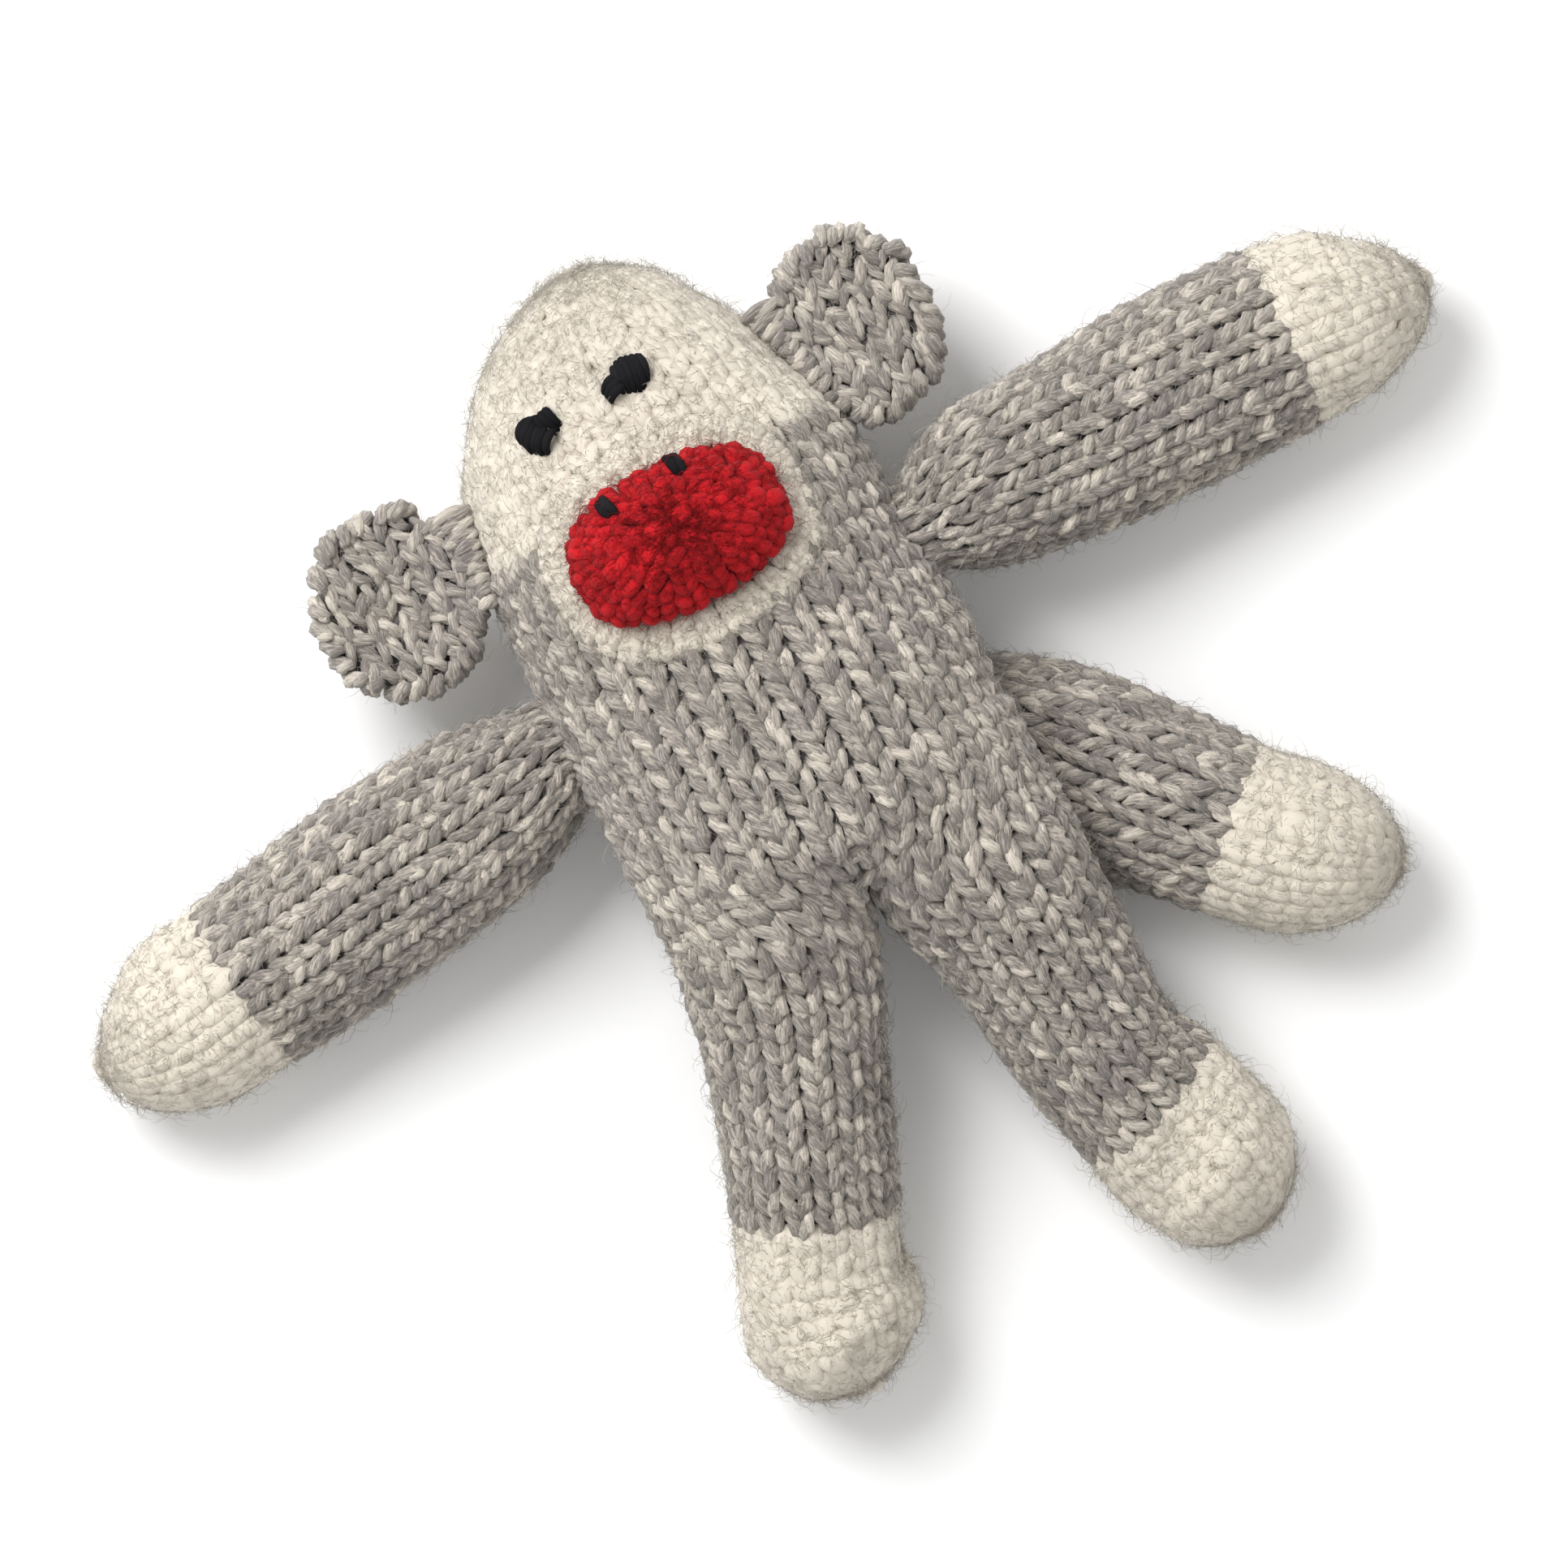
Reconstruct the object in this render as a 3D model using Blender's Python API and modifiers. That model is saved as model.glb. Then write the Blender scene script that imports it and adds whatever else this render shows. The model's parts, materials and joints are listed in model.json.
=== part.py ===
"""A small hand-knitted sock monkey, stuffed, lying on its back with its arms spread.

The frame: +Y runs from the feet to the head, +Z is the way the face looks, +X is the monkey's left,
and the origin is the middle of its footprint on the surface that it lies on. Tables are in millimetres,
measured from the point where the two legs part.
"""

import math

import bmesh
import bpy
import numpy as np
from mathutils import Matrix, Vector

MM = 0.001

# ---------------------------------------------------------------- driving dimensions, in millimetres
WALL = 2.0  # the knitted fabric
GAP = 0.3  # between two pieces that lie on each other
STUFFING_GAP = 0.5  # between the fabric and what fills it
BODY_SIDES = 24
LIMB_SIDES = 12

CROTCH = (-1.2, -10.95, 0.0)  # where the legs part, from the middle of the footprint

# A stuffed tube is a list of stations: centre x, y, z, half width across, half depth.
BODY = [
    (0.9, 12.4, 26.3, 28.2, 17.6),
    (0.7, 24.0, 23.2, 28.2, 19.2),
    (0.4, 38.0, 19.5, 28.0, 19.8),
    (0.2, 50.0, 18.6, 27.4, 19.6),
    (0.0, 58.0, 18.0, 26.4, 18.9),
    (-0.3, 66.3, 17.5, 24.4, 17.8),
    (-0.4, 73.3, 17.8, 21.5, 16.2),
    (-0.1, 79.8, 17.8, 17.4, 13.6),
    (0.8, 84.6, 18.0, 12.4, 10.2),
    (1.6, 87.4, 18.2, 7.4, 6.4),
    (2.2, 88.6, 18.4, 3.6, 3.2),
]
BODY_COLOUR_CHANGE = 4  # the station where grey yarn gives way to cream

HIP = {"left": (15.2, -1.0, 26.5), "right": (-15.2, -1.0, 26.5)}
HIP_RADIUS = 12.6
HIP_LATITUDES = (68, 46, 23)  # degrees from the equator of the round top that turns inside the hip
LEG = {
    "left": [
        (15.2, -1.0, 26.5, 12.6, 12.6),
        (16.2, -13.0, 23.4, 12.6, 12.2),
        (17.4, -26.0, 19.9, 11.9, 11.6),
        (18.7, -38.0, 16.5, 11.2, 11.2),
        (22.0, -48.1, 13.8, 12.1, 11.8),
        (24.6, -56.5, 12.3, 12.3, 12.0),
        (26.0, -61.8, 11.9, 10.8, 10.9),
        (27.0, -65.4, 11.7, 7.4, 7.6),
        (27.4, -66.9, 11.6, 3.8, 3.8),
    ],
    "right": [
        (-15.2, -1.0, 26.5, 12.6, 12.6),
        (-17.3, -13.0, 23.4, 12.4, 12.2),
        (-21.4, -26.0, 19.9, 11.7, 11.6),
        (-26.8, -40.4, 16.0, 11.2, 11.2),
        (-29.4, -47.0, 13.8, 12.0, 11.8),
        (-30.5, -53.0, 12.3, 12.3, 12.0),
        (-30.8, -57.2, 11.9, 10.8, 10.9),
        (-30.7, -60.2, 11.7, 7.4, 7.6),
        (-30.6, -61.6, 11.6, 3.8, 3.8),
    ],
}
LEG_COLOUR_CHANGE = {"left": 4, "right": 3}

SHOULDER = {"left": (29.4, 37.4, 19.9), "right": (-28.9, 33.2, 19.9)}
ARM = {
    "left": [
        (34.8, 37.7, 19.4, 5.0, 5.0),
        (40.2, 38.1, 18.1, 9.9, 9.4),
        (46.4, 38.2, 16.5, 12.0, 11.4),
        (55.0, 38.1, 14.8, 12.7, 12.2),
        (70.0, 38.3, 13.3, 13.1, 12.7),
        (87.0, 37.9, 12.8, 12.9, 12.6),
        (93.2, 37.1, 12.5, 11.7, 11.6),
        (98.4, 36.5, 12.3, 9.2, 9.2),
        (102.0, 36.2, 12.2, 6.4, 6.4),
        (104.2, 36.1, 12.2, 3.6, 3.6),
    ],
    "right": [
        (-34.1, 31.9, 19.4, 5.0, 5.0),
        (-39.4, 30.7, 18.1, 9.9, 9.4),
        (-46.0, 29.8, 16.5, 12.2, 11.6),
        (-55.0, 28.6, 14.8, 13.2, 12.5),
        (-69.4, 26.3, 13.4, 12.8, 12.5),
        (-81.2, 24.9, 12.9, 12.6, 12.4),
        (-89.4, 23.5, 12.5, 12.2, 12.0),
        (-95.6, 22.8, 12.2, 10.4, 10.4),
        (-99.8, 22.9, 12.1, 7.2, 7.2),
        (-101.8, 23.2, 12.1, 3.8, 3.8),
    ],
}
ARM_COLOUR_CHANGE = {"left": 5, "right": 5}

TAIL_ROOT = (9.5, 22.4, 2.9)
TAIL = [
    (13.4, 18.7, 3.3, 4.4, 2.9),
    (20.0, 11.9, 5.6, 9.0, 5.4),
    (27.5, 3.9, 8.0, 11.6, 7.9),
    (34.8, -4.0, 9.7, 12.6, 9.6),
    (42.3, -12.3, 11.1, 12.5, 11.1),
    (49.5, -19.7, 11.8, 12.0, 11.7),
    (56.5, -25.6, 11.8, 11.7, 11.7),
    (61.6, -29.3, 11.5, 9.4, 9.8),
    (64.4, -31.2, 11.3, 6.6, 6.8),
    (65.6, -32.0, 11.2, 3.6, 3.8),
]
TAIL_COLOUR_CHANGE = 5

SEAM_YARN = 0.6  # radius of the sewing yarn
SEAM_RING = 2.4  # radius of the ring of stitches round a gathered arm root
SEAM_OFFSET = 2.0  # from the shoulder's pivot to that ring
TAIL_SEAM_RING = 1.4
GATHER_RADIUS = 2.3  # the drawn-up yarn that closes a tip
GATHER_FLATNESS = 0.5
RING_POINTS = 14  # round a ring of seam stitches

EAR = {  # centre x, y, then half width and half height
    "left": (37.2, 64.3, 9.8, 13.8),
    "right": (-39.6, 60.2, 10.9, 13.5),
}
EAR_HEIGHT = 19.0
EAR_THICKNESS = 5.0
EAR_DISH = 1.6  # how much thinner the middle of the ear is
EAR_SEAM_LENGTH = 9.0
EAR_STEPS = 20
EAR_PROFILE = [  # share of the way to the rim, half thickness
    (0.0, EAR_THICKNESS / 2 - EAR_DISH),
    (0.5, EAR_THICKNESS / 2 - EAR_DISH),
    (0.72, EAR_THICKNESS / 2 - 0.3),
    (0.86, EAR_THICKNESS / 2),
    (0.96, EAR_THICKNESS * 0.375),
]

MUZZLE_CENTRE = (-0.5, 50.8)
MUZZLE = (15.4, 11.0)  # half width, half height of the red dome
MUZZLE_SEAM = (16.3, 11.9)
MUZZLE_RIM = (18.7, 14.3)
MUZZLE_HEIGHT = 8.6
MUZZLE_BASE = 0.9  # the dome's edge stands this far off the face
RIM_YARN = 1.5
MUZZLE_SEAM_YARN = 0.5
FACE_RING_POINTS = 28
DOME_SIDES = 20
DOME_ANGLES = (0, 18, 36, 54, 70, 82)  # degrees from the muzzle's edge towards its crown
FLOOR_REACHES = (0.25, 0.6, 1.0)  # rings of the stuffing's floor, as shares of its size

EYES = {"left": (3.3, 73.1), "right": (-10.8, 71.9)}
EYE_SIZE = (3.1, 2.5, 1.0)
NOSTRILS = {"left": (3.0, 59.0), "right": (-7.2, 58.2)}
NOSTRIL_SIZE = (1.0, 1.5, 0.6)

CROTCH_SEAM_YARN = 1.0
CROTCH_SEAM_Y = 10.6
CROTCH_SEAM_SPAN = (15.0, 38.0)
CROTCH_SEAM_POINTS = 5

# ---------------------------------------------------------------- yarns: colour, roughness
YARNS = {
    "grey_marl_wool": ((0.30, 0.285, 0.27), 0.95),
    "cream_wool": ((0.78, 0.74, 0.64), 0.95),
    "red_wool": ((0.50, 0.012, 0.02), 0.9),
    "black_wool": ((0.012, 0.012, 0.014), 0.9),
    "fibrefill": ((0.85, 0.85, 0.84), 1.0),
}


def clear_scene():
    for thing in list(bpy.data.objects):
        bpy.data.objects.remove(thing, do_unlink=True)


def new_collection(name):
    group = bpy.data.collections.new(name)
    bpy.context.scene.collection.children.link(group)
    return group


def yarn_material(name):
    colour, roughness = YARNS[name]
    material = bpy.data.materials.get(name) or bpy.data.materials.new(name)
    material.use_nodes = True
    shader = material.node_tree.nodes["Principled BSDF"]
    shader.inputs["Base Color"].default_value = (*colour, 1.0)
    shader.inputs["Roughness"].default_value = roughness
    shader.inputs["Metallic"].default_value = 0.0
    return material


def add_pivot(name, place, parent=None):
    """An empty on a joint's axis, which carries the pieces that move about it.

    The body's own empty stands where the legs part, and the others are placed from there.
    """
    empty = bpy.data.objects.new(name, None)
    empty.empty_display_size = 5 * MM
    empty.parent = parent
    empty.location = Vector(place) * MM
    empty["place"] = tuple(place) if parent else (0.0, 0.0, 0.0)
    parts.objects.link(empty)
    return empty


def add_piece(name, data, pivot, yarn):
    """Links data, whose points are in metres from the crotch, as an object with its origin on pivot."""
    data.transform(Matrix.Translation(-Vector(pivot["place"]) * MM))
    data.materials.append(yarn_material(yarn))
    piece = bpy.data.objects.new(name, data)
    piece.parent = pivot
    parts.objects.link(piece)
    return piece


# ---------------------------------------------------------------- stuffed tubes
def smooth_stations(stations, steps=2):
    """Stations on a Catmull-Rom curve through the given ones, `steps` for each interval."""
    rows = np.array(stations, float)
    ends = np.vstack([2 * rows[0] - rows[1], rows, 2 * rows[-1] - rows[-2]])
    found = []
    for i in range(len(rows) - 1):
        a, b, c, d = ends[i : i + 4]
        for t in np.arange(steps) / steps:
            turn = (2 * a - 5 * b + 4 * c - d) * t**2 + (3 * b - a - 3 * c + d) * t**3
            found.append((2 * b + (c - a) * t + turn) / 2)
    return np.vstack([found, rows[-1]])


def rings_of(stations, sides, facing=None):
    """One closed ring of points for each station, square to the tube or facing one way, and above the floor."""
    rows = smooth_stations(stations)
    centres = rows[:, :3]
    along = np.gradient(centres, axis=0) if facing is None else np.tile(facing, (len(rows), 1))
    along /= np.linalg.norm(along, axis=1)[:, None]
    across = np.cross(along, (0.0, 0.0, 1.0))
    across /= np.linalg.norm(across, axis=1)[:, None]
    up = np.cross(across, along)
    angles = 2 * math.pi * np.arange(sides) / sides - math.pi / 2
    rings = []
    for centre, side, rise, wide, deep in zip(centres, across, up, rows[:, 3], rows[:, 4]):
        ring = centre + np.outer(np.cos(angles) * wide, side) + np.outer(np.sin(angles) * deep, rise)
        ring[:, 2] = np.maximum(ring[:, 2], 0.0)
        rings.append(ring)
    return rings


def with_round_top(rings, centre, radius, sides):
    """Adds the rings of a half sphere before a limb's first ring, so that it turns freely at its root."""
    along = Vector(rings[1].mean(axis=0) - rings[0].mean(axis=0)).normalized()
    across = along.cross(Vector((0, 0, 1))).normalized()
    up = across.cross(along)
    angles = 2 * math.pi * np.arange(sides) / sides - math.pi / 2
    top = []
    for latitude in np.radians(HIP_LATITUDES):
        middle = Vector(centre) - along * radius * math.sin(latitude)
        reach = radius * math.cos(latitude)
        top.append(np.array([middle + (across * math.cos(a) + up * math.sin(a)) * reach for a in angles]))
    return top + rings


def loft(rings):
    """An open tube through the rings, facing out."""
    shape = bmesh.new()
    loops = [[shape.verts.new(Vector(point) * MM) for point in ring] for ring in rings]
    sides = len(rings[0])
    for near, far in zip(loops, loops[1:]):
        for j in range(sides):
            k = (j + 1) % sides
            shape.faces.new((near[j], far[j], far[k], near[k]))
    shape.normal_update()
    return shape, loops


def to_mesh(name, shape):
    mesh = bpy.data.meshes.new(name)
    shape.to_mesh(mesh)
    shape.free()
    mesh.shade_smooth()
    return mesh


def shift_end(rings, first, distance):
    """Moves the first or last ring along the tube, which leaves the gap to the neighbouring fabric."""
    rings = list(rings)
    end, inner = (0, 1) if first else (-1, -2)
    step = rings[inner].mean(axis=0) - rings[end].mean(axis=0)
    rings[end] = rings[end] + step / np.linalg.norm(step) * distance
    rings[end][:, 2] = np.maximum(rings[end][:, 2], 0.0)
    return rings


def add_skin(name, rings, pivot, yarn):
    """Knitted fabric: a tube wall, open at both ends."""
    shape, _ = loft(rings)
    add_wall(add_piece(name, to_mesh(name, shape), pivot, yarn))


def add_wall(piece):
    wall = piece.modifiers.new("wall", "SOLIDIFY")
    wall.thickness = WALL * MM
    wall.offset = -1.0


def add_stuffing(name, rings, pivot):
    """The filling: the tube drawn in by the fabric's thickness and closed at both ends."""
    shape, loops = loft(rings)
    for vert in list(shape.verts):
        vert.co -= vert.normal * (WALL + STUFFING_GAP) * MM
    shape.faces.new(loops[0])
    shape.faces.new(reversed(loops[-1]))
    shape.normal_update()
    add_piece(name, to_mesh(name, shape), pivot, "fibrefill")


def add_knitted_limb(name, end_name, rings, change, pivot):
    """Two fabrics on one tube: the grey limb, and its cream end."""
    add_skin(name, shift_end(rings[: change + 1], False, GAP / 2), pivot, "grey_marl_wool")
    add_skin(end_name, shift_end(rings[change:], True, GAP / 2), pivot, "cream_wool")


def add_gather(name, rings, pivot):
    """The yarn drawn through the last stitches, which closes a tip."""
    tip = Vector(rings[-1].mean(axis=0))
    along = (tip - Vector(rings[-2].mean(axis=0))).normalized()
    turn = along.to_track_quat("Z", "Y").to_matrix().to_4x4()
    flat = Matrix.Diagonal((1.0, 1.0, GATHER_FLATNESS, 1.0))
    centre = tip + along * GATHER_RADIUS * GATHER_FLATNESS / 2
    add_ball(name, centre, turn @ flat, GATHER_RADIUS, pivot, "cream_wool")


def add_ball(name, centre, shaping, radius, pivot, yarn):
    """A ball, shaped by a matrix about its centre."""
    shape = bmesh.new()
    bmesh.ops.create_uvsphere(shape, u_segments=10, v_segments=6, radius=radius * MM)
    bmesh.ops.transform(shape, matrix=Matrix.Translation(Vector(centre) * MM) @ shaping, verts=shape.verts)
    return add_piece(name, to_mesh(name, shape), pivot, yarn)


def add_yarn(name, points, radius, pivot, yarn, closed=False):
    """A length of yarn along the points, or a closed ring of it."""
    curve = bpy.data.curves.new(name, "CURVE")
    curve.dimensions = "3D"
    curve.bevel_depth = radius * MM
    curve.bevel_resolution = 2
    curve.use_fill_caps = not closed
    spline = curve.splines.new("POLY")
    spline.points.add(len(points) - 1)
    for target, point in zip(spline.points, points):
        target.co = (*(Vector(point) * MM), 1.0)
    spline.use_cyclic_u = closed
    spline.use_smooth = True
    add_piece(name, curve, pivot, yarn)


def ring_round(centre, along, radius):
    """Points on a circle about a centre, square to a direction."""
    turn = Vector(along).to_track_quat("Z", "Y")
    angles = 2 * math.pi * np.arange(RING_POINTS) / RING_POINTS
    return [Vector(centre) + turn @ Vector((math.cos(a) * radius, math.sin(a) * radius, 0)) for a in angles]


# ---------------------------------------------------------------- the face
def body_at(y):
    """Centre x, centre z, half width and half depth of the body at a height y."""
    rows = smooth_stations(BODY, 8)
    return [np.interp(y, rows[:, 1], rows[:, i]) for i in (0, 2, 3, 4)]


def muzzle_lift(x, y):
    """How far the muzzle's surface stands over the face at x, y."""
    reach = math.hypot((x - MUZZLE_CENTRE[0]) / MUZZLE[0], (y - MUZZLE_CENTRE[1]) / MUZZLE[1])
    return MUZZLE_BASE + MUZZLE_HEIGHT * math.sqrt(max(0.0, 1 - reach**2))


def face_point(x, y, lift=0.0, bulge=lambda x, y: 0.0):
    """The point of the front of the body over x, y, raised square to the surface, and the way that faces."""
    def height(x, y):
        middle, centre, wide, deep = body_at(y)
        return centre + deep * math.sqrt(max(0.0, 1 - ((x - middle) / wide) ** 2)) + bulge(x, y)

    step = 0.2
    slope_x = (height(x + step, y) - height(x - step, y)) / (2 * step)
    slope_y = (height(x, y + step) - height(x, y - step)) / (2 * step)
    normal = Vector((-slope_x, -slope_y, 1.0)).normalized()
    return Vector((x, y, height(x, y))) + normal * lift, normal


def face_ring(half_axes, lift, count=FACE_RING_POINTS):
    """An oval of points about the muzzle's centre, raised over the face."""
    angles = 2 * math.pi * np.arange(count) / count
    return [
        face_point(
            MUZZLE_CENTRE[0] + half_axes[0] * math.cos(a), MUZZLE_CENTRE[1] + half_axes[1] * math.sin(a), lift
        )[0]
        for a in angles
    ]


def dome_rings(base, height, size=1.0):
    """Rings from the muzzle's edge to its crown. Each stands over the face by the dome's height there."""
    return [
        np.array(face_ring(np.array(MUZZLE) * size * reach, base + height * math.sqrt(1 - reach**2), DOME_SIDES))
        for reach in np.cos(np.radians(DOME_ANGLES))
    ]


def add_dome(name, rings, pivot, yarn):
    """The muzzle's fabric: a dome with a wall, open at the back."""
    shape, loops = loft(rings)
    bmesh.ops.reverse_faces(shape, faces=shape.faces)
    shape.faces.new(loops[-1])
    shape.normal_update()
    add_wall(add_piece(name, to_mesh(name, shape), pivot, yarn))


def make_face(pivot):
    add_dome("muzzle", dome_rings(MUZZLE_BASE, MUZZLE_HEIGHT), pivot, "red_wool")
    inner = 1 - (WALL + STUFFING_GAP) / MUZZLE[1]
    top = dome_rings(MUZZLE_BASE + GAP, MUZZLE_HEIGHT - WALL - STUFFING_GAP, inner)
    floor = [
        np.array(face_ring(np.array(MUZZLE) * inner * reach, MUZZLE_BASE, DOME_SIDES)) for reach in FLOOR_REACHES
    ]
    shape, loops = loft(floor + top)
    bmesh.ops.reverse_faces(shape, faces=shape.faces)
    shape.faces.new(reversed(loops[0]))
    shape.faces.new(loops[-1])
    add_piece("muzzle_stuffing", to_mesh("muzzle_stuffing", shape), pivot, "fibrefill")
    add_yarn("muzzle_seam", face_ring(MUZZLE_SEAM, SEAM_YARN + GAP), MUZZLE_SEAM_YARN, pivot, "red_wool", True)
    add_yarn("muzzle_rim", face_ring(MUZZLE_RIM, RIM_YARN + GAP), RIM_YARN, pivot, "cream_wool", True)
    add_stitches("eye", EYES, EYE_SIZE, GAP, pivot)
    add_stitches("nostril", NOSTRILS, NOSTRIL_SIZE, 3 * GAP, pivot, bulge=muzzle_lift)


def add_stitches(kind, places, size, gap, pivot, **surface):
    """A small pad of black stitches on each side, lying on the surface."""
    for side, (x, y) in places.items():
        centre, normal = face_point(x, y, size[2] + gap, **surface)
        shaping = normal.to_track_quat("Z", "Y").to_matrix().to_4x4() @ Matrix.Diagonal((*size, 1.0))
        add_ball(f"{kind}_{side}", centre, shaping, 1.0, pivot, "black_wool")


# ---------------------------------------------------------------- the sub-assemblies
def make_body(pivot):
    rings = rings_of(BODY, BODY_SIDES, (0.0, 1.0, 0.0))
    change = 2 * BODY_COLOUR_CHANGE
    add_knitted_limb("torso_skin", "head_skin", rings, change, pivot)
    add_stuffing("body_stuffing", rings, pivot)
    add_gather("crown_gather", rings, pivot)
    low, high = CROTCH_SEAM_SPAN
    heights = np.linspace(low, high, CROTCH_SEAM_POINTS)
    add_yarn("crotch_seam", [(0.0, CROTCH_SEAM_Y, z) for z in heights], CROTCH_SEAM_YARN, pivot, "grey_marl_wool")


def make_leg(side, pivot):
    rings = with_round_top(rings_of(LEG[side], LIMB_SIDES), HIP[side], HIP_RADIUS, LIMB_SIDES)
    change = 2 * LEG_COLOUR_CHANGE[side] + len(HIP_LATITUDES)
    add_knitted_limb(f"leg_{side}_skin", f"foot_{side}", rings, change, pivot)
    add_stuffing(f"leg_{side}_stuffing", rings, pivot)
    add_gather(f"foot_{side}_gather", rings, pivot)


def add_root_seam(name, root, stations, radius, pivot):
    """The ring of sewing stitches round a limb's gathered root."""
    along = (Vector(stations[0][:3]) - Vector(root)).normalized()
    ring = ring_round(Vector(root) + along * SEAM_OFFSET, along, radius)
    add_yarn(name, ring, SEAM_YARN, pivot, "grey_marl_wool", True)


def make_arm(side, pivot):
    rings = rings_of(ARM[side], LIMB_SIDES)
    add_knitted_limb(f"arm_{side}_skin", f"hand_{side}", rings, 2 * ARM_COLOUR_CHANGE[side], pivot)
    add_stuffing(f"arm_{side}_stuffing", rings, pivot)
    add_gather(f"hand_{side}_gather", rings, pivot)
    add_root_seam(f"shoulder_{side}_seam", SHOULDER[side], ARM[side], SEAM_RING, pivot)


def make_tail(pivot):
    rings = rings_of(TAIL, LIMB_SIDES)
    add_knitted_limb("tail_skin", "tail_tip", rings, 2 * TAIL_COLOUR_CHANGE, pivot)
    add_stuffing("tail_stuffing", rings[1:], pivot)
    add_gather("tail_gather", rings, pivot)
    add_root_seam("tail_seam", TAIL_ROOT, TAIL, TAIL_SEAM_RING, pivot)


def ear_hinge(side):
    """The middle of the line of stitches that holds an ear, and the two ends of that line."""
    sign = 1 if side == "left" else -1
    y = EAR[side][1]
    ends = []
    for reach in (-EAR_SEAM_LENGTH / 2, EAR_SEAM_LENGTH / 2):
        middle, _, wide, _ = body_at(y + reach)
        ends.append(Vector((middle + sign * (wide + SEAM_YARN + 2 * GAP), y + reach, EAR_HEIGHT)))
    return (ends[0] + ends[1]) / 2, ends


def make_ear(side, body, ear):
    """A knitted disc: a turned profile, thicker at the bound rim than in the middle, made oval."""
    x, y, half_width, half_height = EAR[side]
    outline = EAR_PROFILE + [(1.0, 0.0)] + [(reach, -height) for reach, height in reversed(EAR_PROFILE)]
    shape = bmesh.new()
    verts = [shape.verts.new((reach, 0.0, height * MM)) for reach, height in outline]
    for near, far in zip(verts, verts[1:]):
        shape.edges.new((near, far))
    bmesh.ops.spin(
        shape, geom=shape.verts[:] + shape.edges[:], axis=(0, 0, 1), cent=(0, 0, 0), angle=2 * math.pi,
        steps=EAR_STEPS, use_merge=True,
    )
    bmesh.ops.remove_doubles(shape, verts=shape.verts, dist=1e-5)
    bmesh.ops.transform(
        shape,
        matrix=Matrix.Translation(Vector((x, y, EAR_HEIGHT)) * MM)
        @ Matrix.Diagonal((half_width * MM, half_height * MM, 1.0, 1.0)),
        verts=shape.verts,
    )
    bmesh.ops.recalc_face_normals(shape, faces=shape.faces)
    add_piece(f"ear_{side}", to_mesh(f"ear_{side}", shape), ear, "grey_marl_wool")
    add_yarn(f"ear_{side}_seam", ear_hinge(side)[1], SEAM_YARN, body, "grey_marl_wool")


# ---------------------------------------------------------------- the monkey
clear_scene()
parts = new_collection("sock_monkey")
body_pivot = add_pivot("body", CROTCH)
make_body(body_pivot)
make_face(body_pivot)
for side in ("left", "right"):
    hip = add_pivot(f"hip_{side}", HIP[side], body_pivot)
    make_leg(side, hip)
    shoulder = add_pivot(f"shoulder_{side}", SHOULDER[side], body_pivot)
    make_arm(side, shoulder)
    ear_pivot = add_pivot(f"ear_{side}_hinge", ear_hinge(side)[0], body_pivot)
    make_ear(side, body_pivot, ear_pivot)
tail_pivot = add_pivot("tail_root", TAIL_ROOT, body_pivot)
make_tail(tail_pivot)
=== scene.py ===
"""A small hand-knitted sock monkey, made stitch by stitch round the frame of its CAD model.

Every stitch of the plain knitting is two lengths of yarn that lie as a V on the stuffed tube under them.
Tables are in millimetres from the point where the legs part. The frame says where that point is.
"""

import json
import math

import bpy
import numpy as np
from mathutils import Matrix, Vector


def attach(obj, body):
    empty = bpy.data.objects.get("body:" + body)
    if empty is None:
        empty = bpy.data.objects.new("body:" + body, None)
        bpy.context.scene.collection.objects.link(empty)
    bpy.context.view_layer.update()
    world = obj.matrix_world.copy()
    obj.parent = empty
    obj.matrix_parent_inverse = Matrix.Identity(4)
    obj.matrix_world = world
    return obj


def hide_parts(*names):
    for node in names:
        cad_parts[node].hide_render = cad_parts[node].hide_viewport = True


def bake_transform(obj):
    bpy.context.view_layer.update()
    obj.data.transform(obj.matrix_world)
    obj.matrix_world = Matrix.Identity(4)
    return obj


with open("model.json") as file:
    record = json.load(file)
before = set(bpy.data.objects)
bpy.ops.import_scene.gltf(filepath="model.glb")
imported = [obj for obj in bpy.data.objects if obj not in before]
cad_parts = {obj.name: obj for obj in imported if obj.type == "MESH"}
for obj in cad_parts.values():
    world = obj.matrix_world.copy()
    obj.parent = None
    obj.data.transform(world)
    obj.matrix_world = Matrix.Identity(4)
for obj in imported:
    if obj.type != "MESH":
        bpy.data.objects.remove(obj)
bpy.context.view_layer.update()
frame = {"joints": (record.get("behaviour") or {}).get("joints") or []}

MM = 0.001
STITCH = 4.75  # width of a stitch
ROW = 3.15  # height of a row of stitches
YARN = 1.12  # radius of the yarn
FABRIC = 1.15  # from the outside of the fabric to the middle of its yarn
TWIST = 5.2  # length of one turn of the plies
FIBRE = 0.038  # radius of a loose fibre
FLOOR_SOFTNESS = 0.3  # how gently the fabric flattens where it lies on the floor
LUMP_WAVES = 6  # waves added up into a tube's lumps
BODY_COLUMNS = 32  # stitches round the body
LIMB_COLUMNS = 16
GREY_FUZZ = 1.3  # loose fibres for each square millimetre
CREAM_FUZZ = 2.4
FACE_FUZZ = 4.0

rng = np.random.default_rng(11)
joints = {joint["name"]: joint for joint in frame["joints"]}
hips = [np.array(joints[f"hip_{side}_flex"]["pos_m"]) / MM for side in ("left", "right")]
ORIGIN = (hips[0] + hips[1]) / 2 + (0.0, 1.0, 0.0)
ORIGIN[2] = 0.0

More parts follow.
